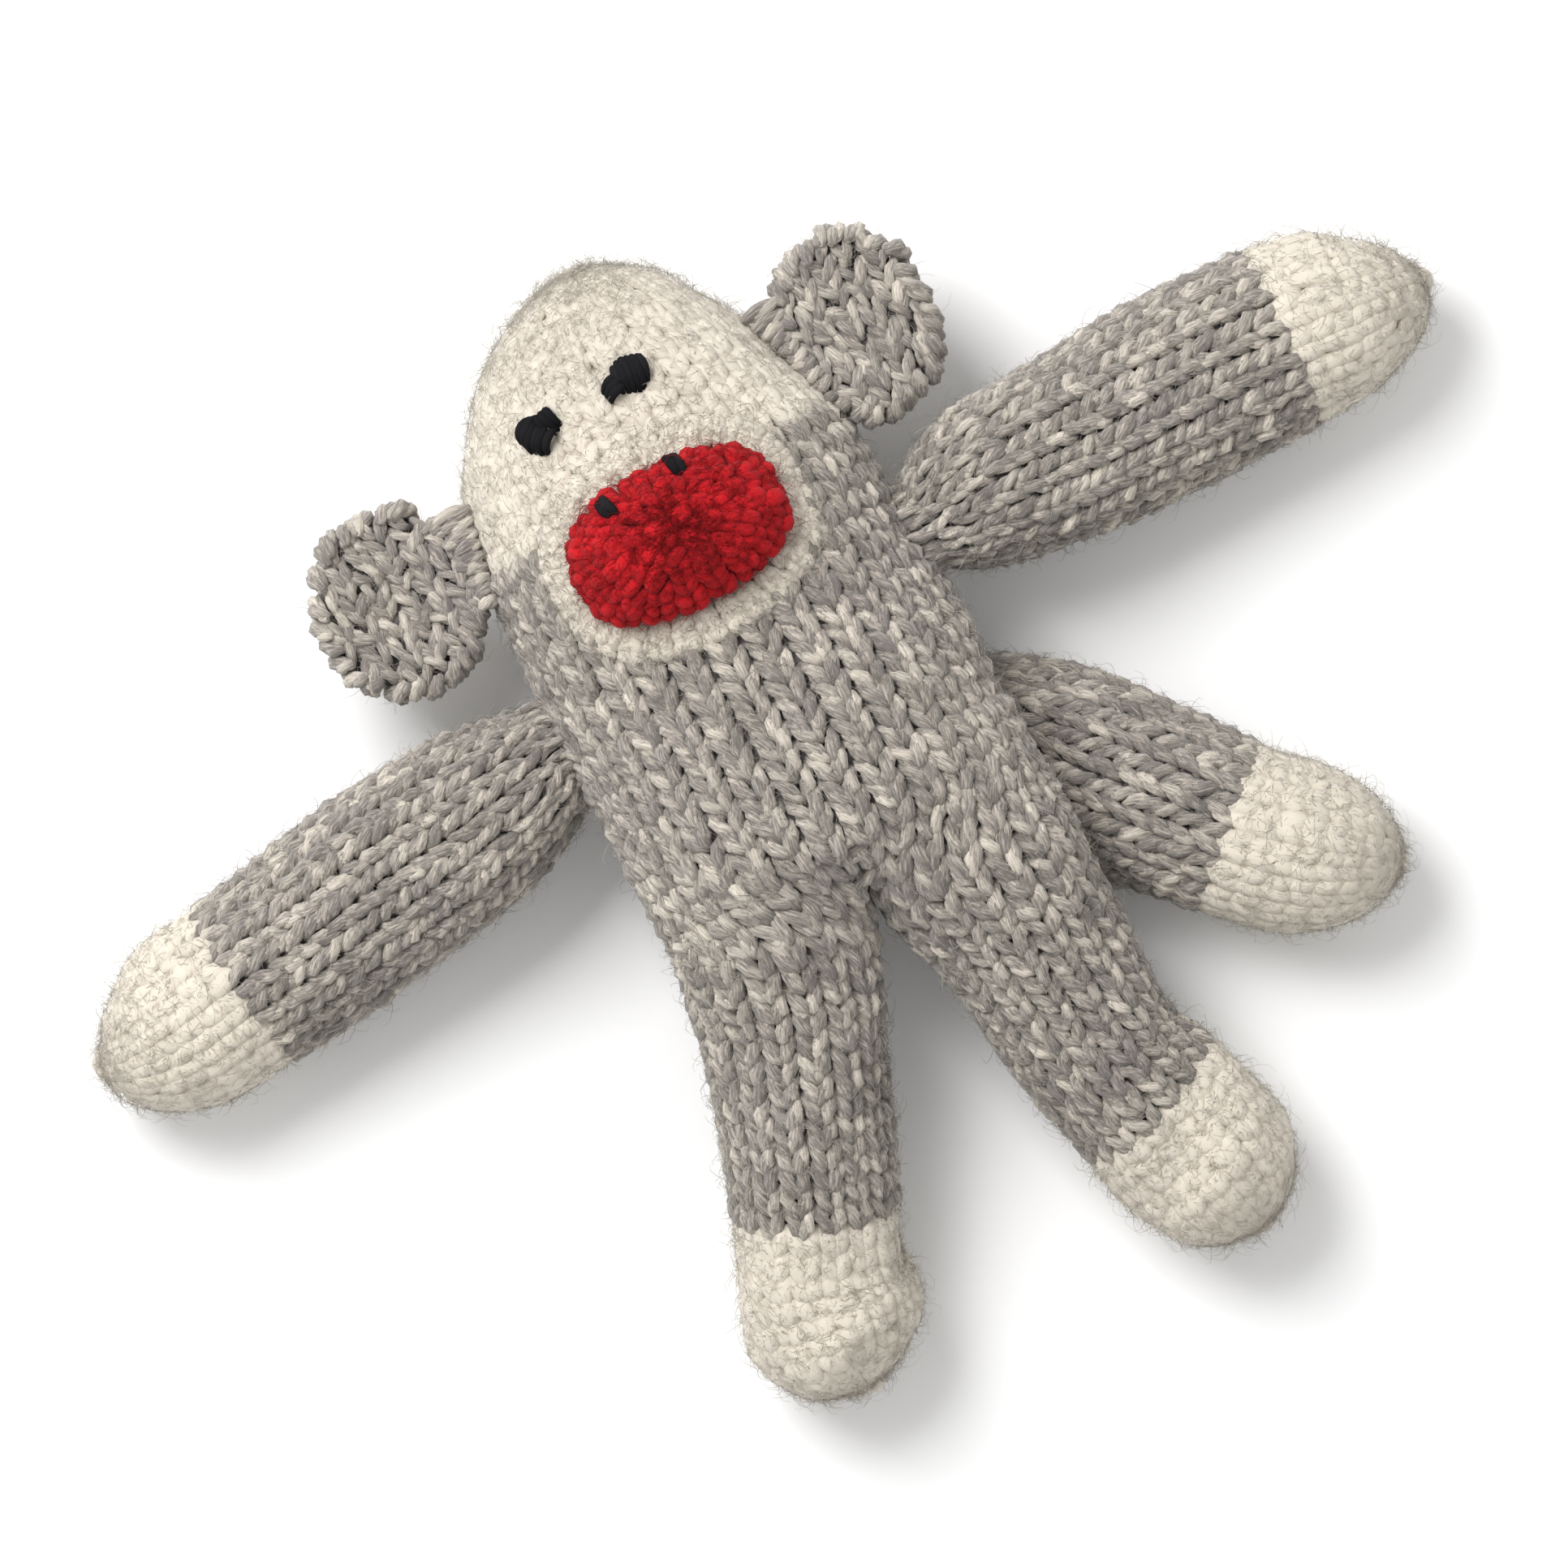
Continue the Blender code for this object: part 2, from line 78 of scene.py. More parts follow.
# A stuffed tube is a list of stations: centre x, y, z, half width across, half depth.
BODY = [
    (0.9, 10.0, 26.9, 28.2, 17.2),
    (0.8, 14.0, 25.8, 28.2, 17.9),
    (0.7, 24.0, 23.2, 28.3, 19.3),
    (0.4, 38.0, 19.8, 28.1, 19.9),
    (0.2, 50.0, 18.8, 27.6, 19.7),
    (0.0, 58.0, 18.2, 26.6, 19.0),
    (-0.3, 66.3, 17.8, 24.6, 17.9),
    (-0.4, 73.3, 17.8, 21.7, 16.3),
    (-0.1, 79.8, 17.8, 17.6, 13.8),
    (0.8, 84.8, 18.0, 12.6, 10.4),
    (1.6, 88.0, 18.2, 7.0, 6.2),
    (2.2, 89.4, 18.4, 2.4, 2.2),
]
NECK_Y = 58.0  # where grey yarn gives way to cream
WAIST_Y = 12.4  # where the body divides into two legs
FORK_Y = 6.5  # from here down each half of the body's oval closes
PARTING_Y = -6.0  # from here on a leg is round

LEG = {
    "left": [
        (14.6, 14.0, 26.2, 13.6, 17.0),
        (14.9, 7.0, 26.6, 14.8, 15.9),
        (14.9, -1.0, 26.3, 14.7, 14.3),
        (16.3, -13.0, 23.4, 13.3, 12.8),
        (17.4, -26.0, 19.9, 12.1, 11.8),
        (18.7, -38.0, 16.5, 11.5, 11.4),
        (22.0, -48.1, 13.8, 12.3, 12.0),
        (24.6, -56.5, 12.5, 12.5, 12.2),
        (26.0, -61.8, 12.1, 11.0, 11.1),
        (27.0, -65.6, 11.9, 7.6, 7.8),
        (27.5, -67.8, 11.8, 2.4, 2.6),
    ],
    "right": [
        (-12.8, 14.0, 26.2, 13.6, 17.0),
        (-13.2, 7.0, 26.6, 14.2, 15.9),
        (-13.7, -1.0, 26.3, 14.0, 14.3),
        (-16.7, -13.0, 23.4, 12.9, 12.6),
        (-21.4, -26.0, 19.9, 12.0, 11.8),
        (-26.8, -40.4, 16.0, 11.5, 11.4),
        (-29.4, -47.0, 13.8, 12.2, 12.0),
        (-30.5, -53.0, 12.5, 12.5, 12.2),
        (-30.8, -57.4, 12.1, 11.0, 11.1),
        (-30.7, -60.6, 11.9, 7.6, 7.8),
        (-30.6, -62.6, 11.8, 2.4, 2.6),
    ],
}
ANKLE = {"left": (21.1, -45.8), "right": (-26.2, -38.6)}

ARM = {
    "left": [
        (26.6, 37.2, 20.0, 5.4, 5.2),
        (29.4, 37.4, 19.9, 6.8, 6.4),
        (34.2, 37.9, 19.2, 9.6, 8.8),
        (40.2, 38.4, 18.1, 11.6, 10.8),
        (46.4, 38.3, 16.5, 12.4, 11.8),
        (55.0, 38.1, 14.8, 12.8, 12.4),
        (70.0, 38.3, 13.4, 13.2, 12.8),
        (87.0, 37.9, 12.9, 13.0, 12.7),
        (93.4, 37.0, 12.6, 11.9, 11.8),
        (98.8, 36.5, 12.4, 9.3, 9.4),
        (102.8, 36.3, 12.3, 6.2, 6.2),
        (105.2, 36.4, 12.2, 2.2, 2.2),
    ],
    "right": [
        (-26.2, 33.6, 20.0, 6.0, 5.4),
        (-29.0, 33.2, 19.9, 7.8, 6.8),
        (-33.4, 32.0, 19.3, 10.2, 9.2),
        (-39.4, 30.9, 18.1, 11.6, 10.8),
        (-46.0, 29.8, 16.5, 12.6, 11.9),
        (-55.0, 28.6, 14.8, 13.3, 12.6),
        (-69.4, 26.3, 13.5, 13.0, 12.7),
        (-81.2, 24.9, 13.0, 12.8, 12.6),
        (-89.4, 23.5, 12.7, 12.4, 12.2),
        (-95.6, 22.8, 12.4, 10.6, 10.6),
        (-100.2, 22.9, 12.3, 7.2, 7.2),
        (-103.0, 23.4, 12.2, 2.4, 2.4),
    ],
}
WRIST = {"left": (85.2, 37.9), "right": (-80.8, 24.9)}

TAIL = [
    (9.4, 22.4, 3.0, 3.0, 2.3),
    (14.2, 19.4, 4.0, 6.0, 3.4),
    (20.7, 12.6, 6.2, 10.3, 5.8),
    (28.2, 4.6, 8.4, 12.8, 8.2),
    (35.4, -3.4, 9.9, 13.5, 9.8),
    (42.8, -11.9, 11.3, 13.1, 11.2),
    (49.5, -19.7, 12.0, 12.2, 11.9),
    (56.5, -25.6, 12.0, 11.9, 11.9),
    (61.6, -29.3, 11.8, 9.6, 10.0),
    (64.6, -31.4, 11.6, 6.4, 6.6),
    (66.4, -32.6, 11.4, 2.2, 2.4),
]
TAIL_CHANGE = (47.4, -17.8)

MUZZLE_CENTRE = np.array((-0.5, 50.7))
MUZZLE = np.array((14.7, 10.1))  # half width and half height of the red dome
MUZZLE_HEIGHT = 8.4
BLUNT = 2.6  # 2 is an ellipse, more is squarer
MUZZLE_COLUMNS = 20
MUZZLE_ROW = 2.35
MUZZLE_LOOSE = 1.9  # how uneven its stitches are
RIM = np.array((18.9, 14.4))  # the cream ring round it
RIM_COLUMNS = 30
RIM_ROW = 2.3
RIM_LONGEST = 3.5  # its longest loose fibre
EYES = {"left": (3.3, 73.1), "right": (-10.8, 71.9)}
NOSTRILS = {"left": (2.9, 58.4), "right": (-6.2, 57.4)}
EAR = {  # centre x, y, half width, half height
    "left": (34.2, 66.0, 10.3, 13.6),
    "right": (-38.2, 60.6, 11.6, 12.9),
}
EAR_HEIGHT = 19.0
EAR_THICKNESS = 2.2  # half of it
EAR_DISH = 0.9
EAR_CUP = 1.2  # how far the rim curls to the front
EAR_COLUMN = 1.75  # from one column of its stitches to the next
EAR_ROW = 2.5
EAR_STITCH = 4.1  # length of a stitch
EAR_RIM_STITCHES = 26
EAR_RIM_YARN = 1.4
EAR_SEAM_STITCHES = 9
EAR_SEAM_SPAN = (-5.5, 7.2)  # the seam's ends, up from the ear's middle
EAR_SEAM_YARN = 1.25
EAR_FIBRES = 1100

# Groups of black stitches: shift right, shift up, direction in degrees, length, number.
EYE_STITCHES = {
    "left": ((0.4, 0.3, 88, 5.2, 6), (-2.4, -0.6, 18, 3.4, 3)),
    "right": ((-0.2, -0.2, 42, 5.3, 6), (2.0, 0.8, 105, 3.4, 3)),
}
NOSTRIL_STITCHES = {"left": ((0.0, 0.0, -85, 4.9, 2),), "right": ((0.0, 0.0, -71, 4.9, 2),)}
SATIN_STEP = 0.72
SATIN_YARN = 0.74
EYE_LIFT = 1.9
NOSTRIL_LIFT = 2.3


def smooth_stations(stations, steps):
    """Rows on a Catmull-Rom curve through the stations."""
    rows = np.array(stations, float)
    ends = np.vstack([2 * rows[0] - rows[1], rows, 2 * rows[-1] - rows[-2]])
    found = []
    for i in range(len(rows) - 1):
        a, b, c, d = ends[i : i + 4]
        for t in np.arange(steps) / steps:
            turn = (2 * a - 5 * b + 4 * c - d) * t**2 + (3 * b - a - 3 * c + d) * t**3
            found.append((2 * b + (c - a) * t + turn) / 2)
    return np.vstack([found, rows[-1]])


def unit(vectors):
    return vectors / np.maximum(np.linalg.norm(vectors, axis=-1, keepdims=True), 1e-9)


def smooth_step(low, high, values):
    t = np.clip((values - low) / (high - low), 0.0, 1.0)
    return t * t * (3 - 2 * t)


def look_up(values, where):
    """A table of rows read at fractional rows."""
    low = np.clip(np.floor(where).astype(int), 0, len(values) - 2)
    part = (where - low)[..., None]
    return values[low] * (1 - part) + values[low + 1] * part


# ---------------------------------------------------------------- surfaces
class Surface:
    """A surface read by the turn round it, from 0 to 1, and the distance along it."""

    def measure(self):
        """Fills in the length along the surface and the girth round it, once section() works."""
        self.index = np.arange(self.count, dtype=float)
        turns = np.arange(24) / 24
        grid = np.stack([self.section(np.full(self.count, t), self.index) for t in turns])
        steps = np.linalg.norm(np.diff(grid, axis=1), axis=2).mean(axis=0)
        self.reach = np.concatenate([[0.0], np.cumsum(steps)])
        self.length = self.reach[-1]
        self.girth = np.linalg.norm(np.roll(grid, -1, axis=0) - grid, axis=2).sum(axis=0)

    def place(self, turn, distance, height):
        """Points over the surface, and the way out of it there."""
        where = np.interp(distance, self.reach, self.index)
        past = distance - np.clip(distance, 0.0, self.length)
        turn_step, row_step = 2e-3, 0.15
        point = self.section(turn, where)
        ahead = self.section(turn, np.clip(where + row_step, 0, self.index[-1]))
        behind = self.section(turn, np.clip(where - row_step, 0, self.index[-1]))
        round_way = self.section(turn + turn_step, where) - self.section(turn - turn_step, where)
        along = unit(ahead - behind)
        out = unit(np.cross(along, round_way))
        out *= np.sign(np.sum(out * self.outward(point, where), axis=-1, keepdims=True) + 1e-6)
        return point + along * past[..., None] + out * height[..., None], out

    def girth_at(self, distance):
        return np.interp(distance, self.reach, self.girth)

    def distance_at(self, place):
        """The distance along the surface where its middle line passes closest to an x, y."""
        return self.reach[np.argmin(np.linalg.norm(self.centres[:, :2] - place, axis=1))]


class Tube(Surface):
    """A stuffed tube, a little lumpy."""

    def __init__(self, stations, facing=None, lumps=0.25, seed=1):
        self.rows = smooth_stations(stations, 12)
        self.count = len(self.rows)
        self.centres = self.rows[:, :3]
        along = np.gradient(self.centres, axis=0) if facing is None else np.tile(facing, (self.count, 1))
        along = unit(along)
        self.side = unit(np.cross(along, (0.0, 0.0, 1.0)))
        self.up = np.cross(self.side, along)
        picker = np.random.default_rng(seed)
        self.waves = [
            (
                picker.integers(1, 5),
                picker.uniform(0.08, 0.3),
                picker.uniform(0, 6.28),
                lumps * picker.uniform(0.4, 1),
            )
            for _ in range(LUMP_WAVES)
        ]
        self.measure()

    def section(self, turn, where):
        angle = math.pi / 2 - 2 * math.pi * turn
        row = look_up(self.rows, where)
        side, up = look_up(self.side, where), look_up(self.up, where)
        swell = sum(a * np.sin(n * angle + f * where + p) for n, f, p, a in self.waves)
        swell *= np.clip(row[..., 3] / 12.0 - 0.3, 0.0, 1.0)
        wide = np.maximum(row[..., 3] - FABRIC, 0.5) + swell
        deep = np.maximum(row[..., 4] - FABRIC, 0.5) + swell
        across = side * (np.cos(angle) * wide)[..., None]
        rise = up * (np.sin(angle) * deep)[..., None]
        return row[..., :3] + across + rise

    def outward(self, point, where):
        return point - look_up(self.centres, where)


class LegTube(Tube):
    """A leg: half of the body's oval at the top, which closes to a round tube below the parting."""

    def __init__(self, stations, sign, seed):
        self.sign = sign
        self.body = smooth_stations(BODY, 4)
        super().__init__(stations, seed=seed)

    def section(self, turn, where):
        # A leg's turn starts at its inner side, a tube's at its front.
        round_leg = super().section(self.sign * (0.25 - turn), where)
        y = look_up(self.centres, where)[..., 1]
        x, z, wide, deep = (np.interp(y, self.body[:, 1], self.body[:, i]) for i in (0, 2, 3, 4))
        angle = math.pi * np.clip(turn, 0.0, 1.0)
        half = np.stack(
            [
                x + self.sign * (wide - FABRIC) * np.sin(angle),
                y,
                z + (deep - FABRIC) * np.cos(angle),
            ],
            axis=-1,
        )
        share = smooth_step(PARTING_Y, FORK_Y, y)[..., None]
        return half * share + round_leg * (1 - share)


def body_height(x, y):
    """The height of the front of the body's knitting over x, y."""
    middle, centre, wide, deep = (np.interp(y, body_rows[:, 1], body_rows[:, i]) for i in (0, 2, 3, 4))
    return centre + deep * np.sqrt(np.maximum(0.02, 1 - ((x - middle) / wide) ** 2))


body_rows = smooth_stations(BODY, 8)


def on_body(x, y, lift):
    """Points over the front of the body, raised square to it, and the way out there."""
    step = 0.4
    slope_x = (body_height(x + step, y) - body_height(x - step, y)) / (2 * step)
    slope_y = (body_height(x, y + step) - body_height(x, y - step)) / (2 * step)
    out = unit(np.stack([-slope_x, -slope_y, np.ones_like(slope_x)], axis=-1))
    return np.stack([x, y, body_height(x, y)], axis=-1) + out * lift[..., None], out


class Dome(Surface):
    """An oval patch of knitting on the face, from its outer edge inwards, with a height for each step."""

    def __init__(self, centre, outer, inner, lifts, count=40):
        self.count = count
        share = np.linspace(0, 1, count)[:, None]
        self.sizes = outer * (1 - share) + inner * share
        self.lifts = np.interp(share[:, 0], np.linspace(0, 1, len(lifts)), lifts)
        self.centre = centre
        self.measure()

    def section(self, turn, where):
        angle = math.pi / 2 - 2 * math.pi * turn
        size = look_up(self.sizes, where)
        lift = np.interp(where, np.arange(self.count), self.lifts)
        across, up = np.cos(angle), np.sin(angle)
        reach = (np.abs(across) ** BLUNT + np.abs(up) ** BLUNT) ** (-1 / BLUNT)
        x = self.centre[0] + size[..., 0] * reach * across
        y = self.centre[1] + size[..., 1] * reach * up
        return on_body(x, y, lift)[0]

    def outward(self, point, where):
        return point - (self.centre[0], self.centre[1], 0.0)


# ---------------------------------------------------------------- yarn
class YarnMesh:
    """Lengths of yarn, sheets of backing and loose fibres, gathered into one mesh."""

    YARN_TOP, SHEET_TOP = 0.86, 0.97  # shares of the bake's height

    def __init__(self):
        self.yarns, self.sheets = [], []

    def add_yarn(self, paths, out, radii, ply, shade, sides=6, flat=1.0):
        """Adds lengths of yarn.

        paths and out are (lengths, points, 3), and radii (lengths, points). ply and shade hold one number
        for each length.
        """
        along = unit(np.gradient(paths, axis=1))
        across = unit(np.cross(along, out))
        out = np.cross(across, along)
        angles = 2 * math.pi * np.arange(sides) / sides
        ring = flat * np.cos(angles)[:, None] * out[:, :, None] + np.sin(angles)[:, None] * across[:, :, None]
        verts = paths[:, :, None] + ring * radii[:, :, None, None]
        steps = np.linalg.norm(np.diff(paths, axis=1), axis=2).mean(axis=0)
        self.yarns.append((verts, np.concatenate([[0], np.cumsum(steps)]), ply, shade))

    def add_sheet(self, grid):
        """A closed tube of (rings, points, 3) with flat ends."""
        self.sheets.append(grid)

    def build(self, name, materials):
        verts, loops, totals, kinds = [], [], [], []
        plies, shades, uvs, atlas = [], [], [], []
        count = sum(len(part[0]) for part in self.yarns)
        across = max(1, math.ceil(math.sqrt(count / self.YARN_TOP)))
        cell, margin, base, island = 1.0 / across, 0.08, 0, 0
        for part, lengths, ply, shade in self.yarns:
            many, rings, sides, _ = part.shape
            verts.append(part.reshape(-1, 3))
            start = base + np.arange(many)[:, None, None] * rings * sides
            k, j = np.arange(rings - 1)[None, :, None], np.arange(sides)[None, None, :]
            near, far = start + k * sides, start + (k + 1) * sides
            quads = np.stack([near + j, near + (j + 1) % sides, far + (j + 1) % sides, far + j], axis=-1)
            caps = np.arange(sides)
            starts = start[:, 0, 0][:, None]
            loops += [quads.reshape(-1), (starts + caps[::-1]).reshape(-1)]
            loops.append((starts + (rings - 1) * sides + caps).reshape(-1))
            totals += [np.full(quads.size // 4, 4), np.full(2 * many, sides)]
            kinds.append(np.zeros(quads.size // 4 + 2 * many, int))
            plies.append(np.repeat(ply, rings * sides))
            shades.append(np.repeat(shade, rings * sides))
            shape = (rings - 1, sides, 4)
            u = (np.stack([j, j + 1, j + 1, j], axis=-1)[0] / sides * np.ones(shape)).reshape(1, -1)
            v = (np.stack([k, k, k + 1, k + 1], axis=-1)[0] * np.ones(shape, int)).reshape(1, -1)
            place = (island + np.arange(many))[:, None]
            corner_u, corner_v = (place % across) * cell, (place // across) * cell
            offset = np.arange(many)[:, None] * 7.3
            cap_u = caps[None] / sides
            first_cap = (cap_u[:, ::-1], np.zeros((1, sides), int))
            last_cap = (cap_u, np.full((1, sides), rings - 1))
            for us, vs in ((u, v), first_cap, last_cap):
                spread = np.ones((many, 1))
                uvs.append(np.stack([(us * spread).reshape(-1), (lengths[vs] + offset).reshape(-1)], axis=1))
                atlas_u = corner_u + cell * (margin + (1 - 2 * margin) * us)
                atlas_v = corner_v + cell * (margin + (1 - 2 * margin) * vs / (rings - 1))
                atlas.append(np.stack([atlas_u.reshape(-1), atlas_v.reshape(-1)], axis=1))
            base += many * rings * sides
            island += many
        strip = (self.SHEET_TOP - self.YARN_TOP) / max(1, len(self.sheets))
        for number, grid in enumerate(self.sheets):
            rings, sides, _ = grid.shape
            verts.append(grid.reshape(-1, 3))
            k, j = np.arange(rings - 1)[:, None], np.arange(sides)[None, :]
            near, far = base + k * sides, base + (k + 1) * sides
            quads = np.stack([near + j, near + (j + 1) % sides, far + (j + 1) % sides, far + j], axis=-1)
            caps = np.arange(sides)
            loops += [quads.reshape(-1), base + caps[::-1], base + (rings - 1) * sides + caps]
            totals += [np.full(quads.size // 4, 4), np.full(2, sides)]
            kinds.append(np.ones(quads.size // 4 + 2, int))
            plies.append(np.zeros(rings * sides))
            shades.append(np.full(rings * sides, 0.5))
            u = (np.stack([j, j + 1, j + 1, j], axis=-1) / sides + 0 * k[..., None]).reshape(-1)
            v = (np.stack([k, k, k + 1, k + 1], axis=-1) / (rings - 1) + 0 * j[..., None]).reshape(-1)
            ends = np.zeros(sides)
            u, v = np.concatenate([u, ends, ends]), np.concatenate([v, ends, ends + 1])
            uvs.append(np.stack([u * 16, v * 40], axis=1))
            low = self.YARN_TOP + 0.01 + strip * number
            atlas.append(np.stack([0.01 + 0.98 * u, low + (strip - 0.01) * v], axis=1))
            base += rings * sides
        points = np.concatenate(verts)
        points[:, 2] = FLOOR_SOFTNESS * np.logaddexp(0.0, points[:, 2] / FLOOR_SOFTNESS)
        points = (points + ORIGIN) * MM
        return new_mesh(name, points, loops, totals, kinds, uvs, atlas, plies, shades, materials)


def new_mesh(name, points, loops, totals, kinds, uvs, atlas, plies, shades, materials):
    loops, totals = np.concatenate(loops), np.concatenate(totals)
    mesh = bpy.data.meshes.new(name)
    mesh.vertices.add(len(points))
    mesh.vertices.foreach_set("co", points.astype(np.float32).reshape(-1))
    mesh.loops.add(len(loops))
    mesh.loops.foreach_set("vertex_index", loops.astype(np.int32))
    mesh.polygons.add(len(totals))
    mesh.polygons.foreach_set("loop_start", (np.cumsum(totals) - totals).astype(np.int32))
    mesh.polygons.foreach_set("loop_total", totals.astype(np.int32))
    mesh.polygons.foreach_set("material_index", np.concatenate(kinds).astype(np.int32))
    for label, values in (("Yarn", uvs), ("OFBake", atlas)):
        layer = mesh.uv_layers.new(name=label)
        layer.data.foreach_set("uv", np.concatenate(values).astype(np.float32).reshape(-1))
    for label, values in (("ply", plies), ("shade", shades)):
        attribute = mesh.attributes.new(label, "FLOAT", "POINT")
        attribute.data.foreach_set("value", np.concatenate(values).astype(np.float32))
    mesh.update(calc_edges=True)
    mesh.shade_smooth()
    for material in materials:
        mesh.materials.append(material)
    piece = bpy.data.objects.new(name, mesh)
    bpy.context.scene.collection.objects.link(piece)
    return piece


# One leg of a stitch: across in stitch widths, along in rows from the V's point, height in millimetres.
LEG_PATH = np.array([
    (0.00, -0.40, -1.25),
    (0.07, -0.12, -0.42),
    (0.14, 0.16, 0.14),
    (0.22, 0.50, 0.36),
    (0.30, 0.84, 0.22),
    (0.38, 1.14, -0.38),
    (0.45, 1.40, -1.30),
])
LEG_THICKNESS = np.array([0.42, 0.82, 1.04, 1.10, 1.02, 0.74, 0.40])


def lay_yarn(mesh, points, out, radii, marl, flat=1.0):
    """One length of yarn for each path: plain, or for marl a thick grey ply and a thin light one, twisted."""
    many = len(points)
    shade = rng.uniform(0, 1, many)
    if not marl:
        mesh.add_yarn(points, out, radii, np.ones(many), shade, sides=8, flat=flat)
        return
    along = unit(np.gradient(points, axis=1))
    across = unit(np.cross(along, out))
    out = np.cross(across, along)
    steps = np.linalg.norm(np.diff(points, axis=1), axis=2).mean(axis=0)
    run = np.concatenate([[0], np.cumsum(steps)])
    angle = rng.uniform(0, 2 * math.pi, many)[:, None] - 2 * math.pi * run[None] / TWIST
    light = rng.uniform(0.0, 1.0, many)
    plies = ((0.04 + 0.30 * light, 0.0, 0.25, 0.82), (0.22 + 0.56 * light, math.pi, 0.38, 0.70))
    for ply, turn, offset, size in plies:
        away = np.cos(angle + turn)[..., None] * out + np.sin(angle + turn)[..., None] * across
        centre = points + away * (radii * offset)[..., None]
        mesh.add_yarn(centre, out, radii * size, ply, shade, sides=6)


def knit(mesh, surface, start, end, columns, opening, yarns, fewest=8, loose=1.0, row=ROW):
    """Plain knitting between two distances: two legs for each stitch, fewer columns where it narrows."""
    full, flat, relief, _ = KNITTING[yarns[0].name]
    count = max(1, round((end - start) / row))
    height = (end - start) / count
    cells = []
    for i in range(count):
        girth = surface.girth_at(start + height * (i + 0.5))
        many = columns
        while girth / many < 0.6 * STITCH and many > fewest:
            many -= 4
        row_start = start + height * (i + (0.0 if opening > 0 else 1.0))
        cells += [((j + 0.5) / many, row_start, 1.0 / many, girth / many) for j in range(many)]
    cells = np.repeat(np.array(cells), 2, axis=0)
    many = len(cells)
    hand = np.tile((-1.0, 1.0), many // 2)[:, None]
    wobble = rng.normal(0.0, loose, (many, 5))
    path = LEG_PATH[None]
    sway = 0.02 * wobble[:, 4:5] * np.sin(math.pi * (path[..., 1] + 0.3))
    turn = cells[:, 0:1] + (hand * path[..., 0] + 0.022 * wobble[:, 0:1] + sway) * cells[:, 2:3]
    distance = cells[:, 1:2] + opening * (path[..., 1] + 0.05 * wobble[:, 1:2]) * height
    size = np.clip(cells[:, 3] / STITCH, 0.5, 1.0)[:, None]
    lift = relief * (path[..., 2] + 0.1 * wobble[:, 2:3]) * size
    points, out = surface.place(turn, distance, lift)
    radii = full * YARN * size * LEG_THICKNESS[None] * (1 + 0.05 * wobble[:, 3:4])
    lay_yarn(mesh, points, out, radii, yarns is GREY, flat)


def back(mesh, surface, start, end, sides, depth):
    """The inner side of the fabric: a closed tube just under the stitches, in a darker material that paints
    shade into the gaps between them.
    """
    rings = max(2, round((end - start) / 2.0))
    distance = np.linspace(start, end, rings + 1)[:, None] + np.zeros((1, sides))
    turn = np.zeros((rings + 1, 1)) + np.arange(sides)[None] / sides
    points, _ = surface.place(turn, distance, np.full(distance.shape, -depth))
    mesh.add_sheet(points)


def fuzz(mesh, surface, start, end, density, longest=5.0):
    """Loose fibres that stand off the yarn. density is in fibres for each square millimetre."""
    area = surface.girth_at(np.linspace(start, end, 20)).mean() * (end - start)
    many = int(area * density)
    turn = rng.uniform(0, 1, many)[:, None]
    distance = rng.uniform(start, end, many)[:, None]
    length = 1.0 + (longest - 1.0) * rng.uniform(0, 1, (many, 1)) ** 3
    heading = rng.uniform(0, 2 * math.pi, (many, 1))
    rise = 0.6 * rng.uniform(0, 1, (many, 1)) ** 2
    curl = rng.normal(0, 1.3, (many, 1))
    t = np.linspace(0, 1, 4)[None]
    bend = heading + curl * t
    side_way = np.cumsum(np.cos(bend), axis=1) / 4 * length
    on_way = np.cumsum(np.sin(bend), axis=1) / 4 * length
    lift = 0.9 + rise * length * np.sin(1.9 * t)
    reach = np.clip(distance + on_way, start - 1.0, end + 1.0)
    points, out = surface.place(turn + side_way / np.maximum(surface.girth_at(distance), 12.0), reach, lift)
    radii = FIBRE * (1 - 0.6 * t) * np.ones((many, 1))
    mesh.add_yarn(points, out, radii, rng.uniform(0.1, 1, many), rng.uniform(0.3, 1, many), sides=3)


def arched(ends, tops, out, radius, points=7):
    """Short stitches from one end to the other over a top, each thinner at its ends."""
    t = np.linspace(0, 1, points)[None, :, None]
    first, last = ends[:, 0][:, None], ends[:, 1][:, None]
    path = first * (1 - t) ** 2 + last * t**2 + 2 * t * (1 - t) * (2 * tops[:, None] - (first + last) / 2)
    radii = radius * (0.55 + 0.45 * np.sin(math.pi * t[..., 0])) * np.ones((len(ends), 1))
    return path, out[:, None] * np.ones((1, points, 1)), radii


def gather(mesh, surface, count=4, radius=0.8):
    """The yarn drawn through the last stitches, which crosses the tip."""
    turns = (np.arange(count) + 0.3) / (2 * count)
    reach = np.full(count, surface.length - 1.6)
    first = surface.place(turns, reach, np.full(count, 0.2))[0]
    last = surface.place(turns + 0.5, reach, np.full(count, 0.2))[0]
    tip = surface.centres[-1] + unit(surface.centres[-1] - surface.centres[-6]) * 0.5
    tops = tip + 0.3 * rng.normal(0, 1, (count, 3))
    along = unit(surface.centres[-1] - surface.centres[-6])
    path, out, radii = arched(np.stack([first, last], axis=1), tops, np.tile(along, (count, 1)), radius)
    lay_yarn(mesh, path, out, radii, False)


# ---------------------------------------------------------------- materials
def shader_nodes(name):
    material = bpy.data.materials.new(name)
    material.use_nodes = True
    nodes, links = material.node_tree.nodes, material.node_tree.links
    return material, nodes, links, nodes["Principled BSDF"]


def add_math(nodes, links, operation, first, second):
    node = nodes.new("ShaderNodeMath")
    node.operation = operation
    for socket, value in zip(node.inputs, (first, second)):
        if isinstance(value, (int, float)):
            socket.default_value = value
        else:
            links.new(value, socket)
    return node.outputs["Value"]


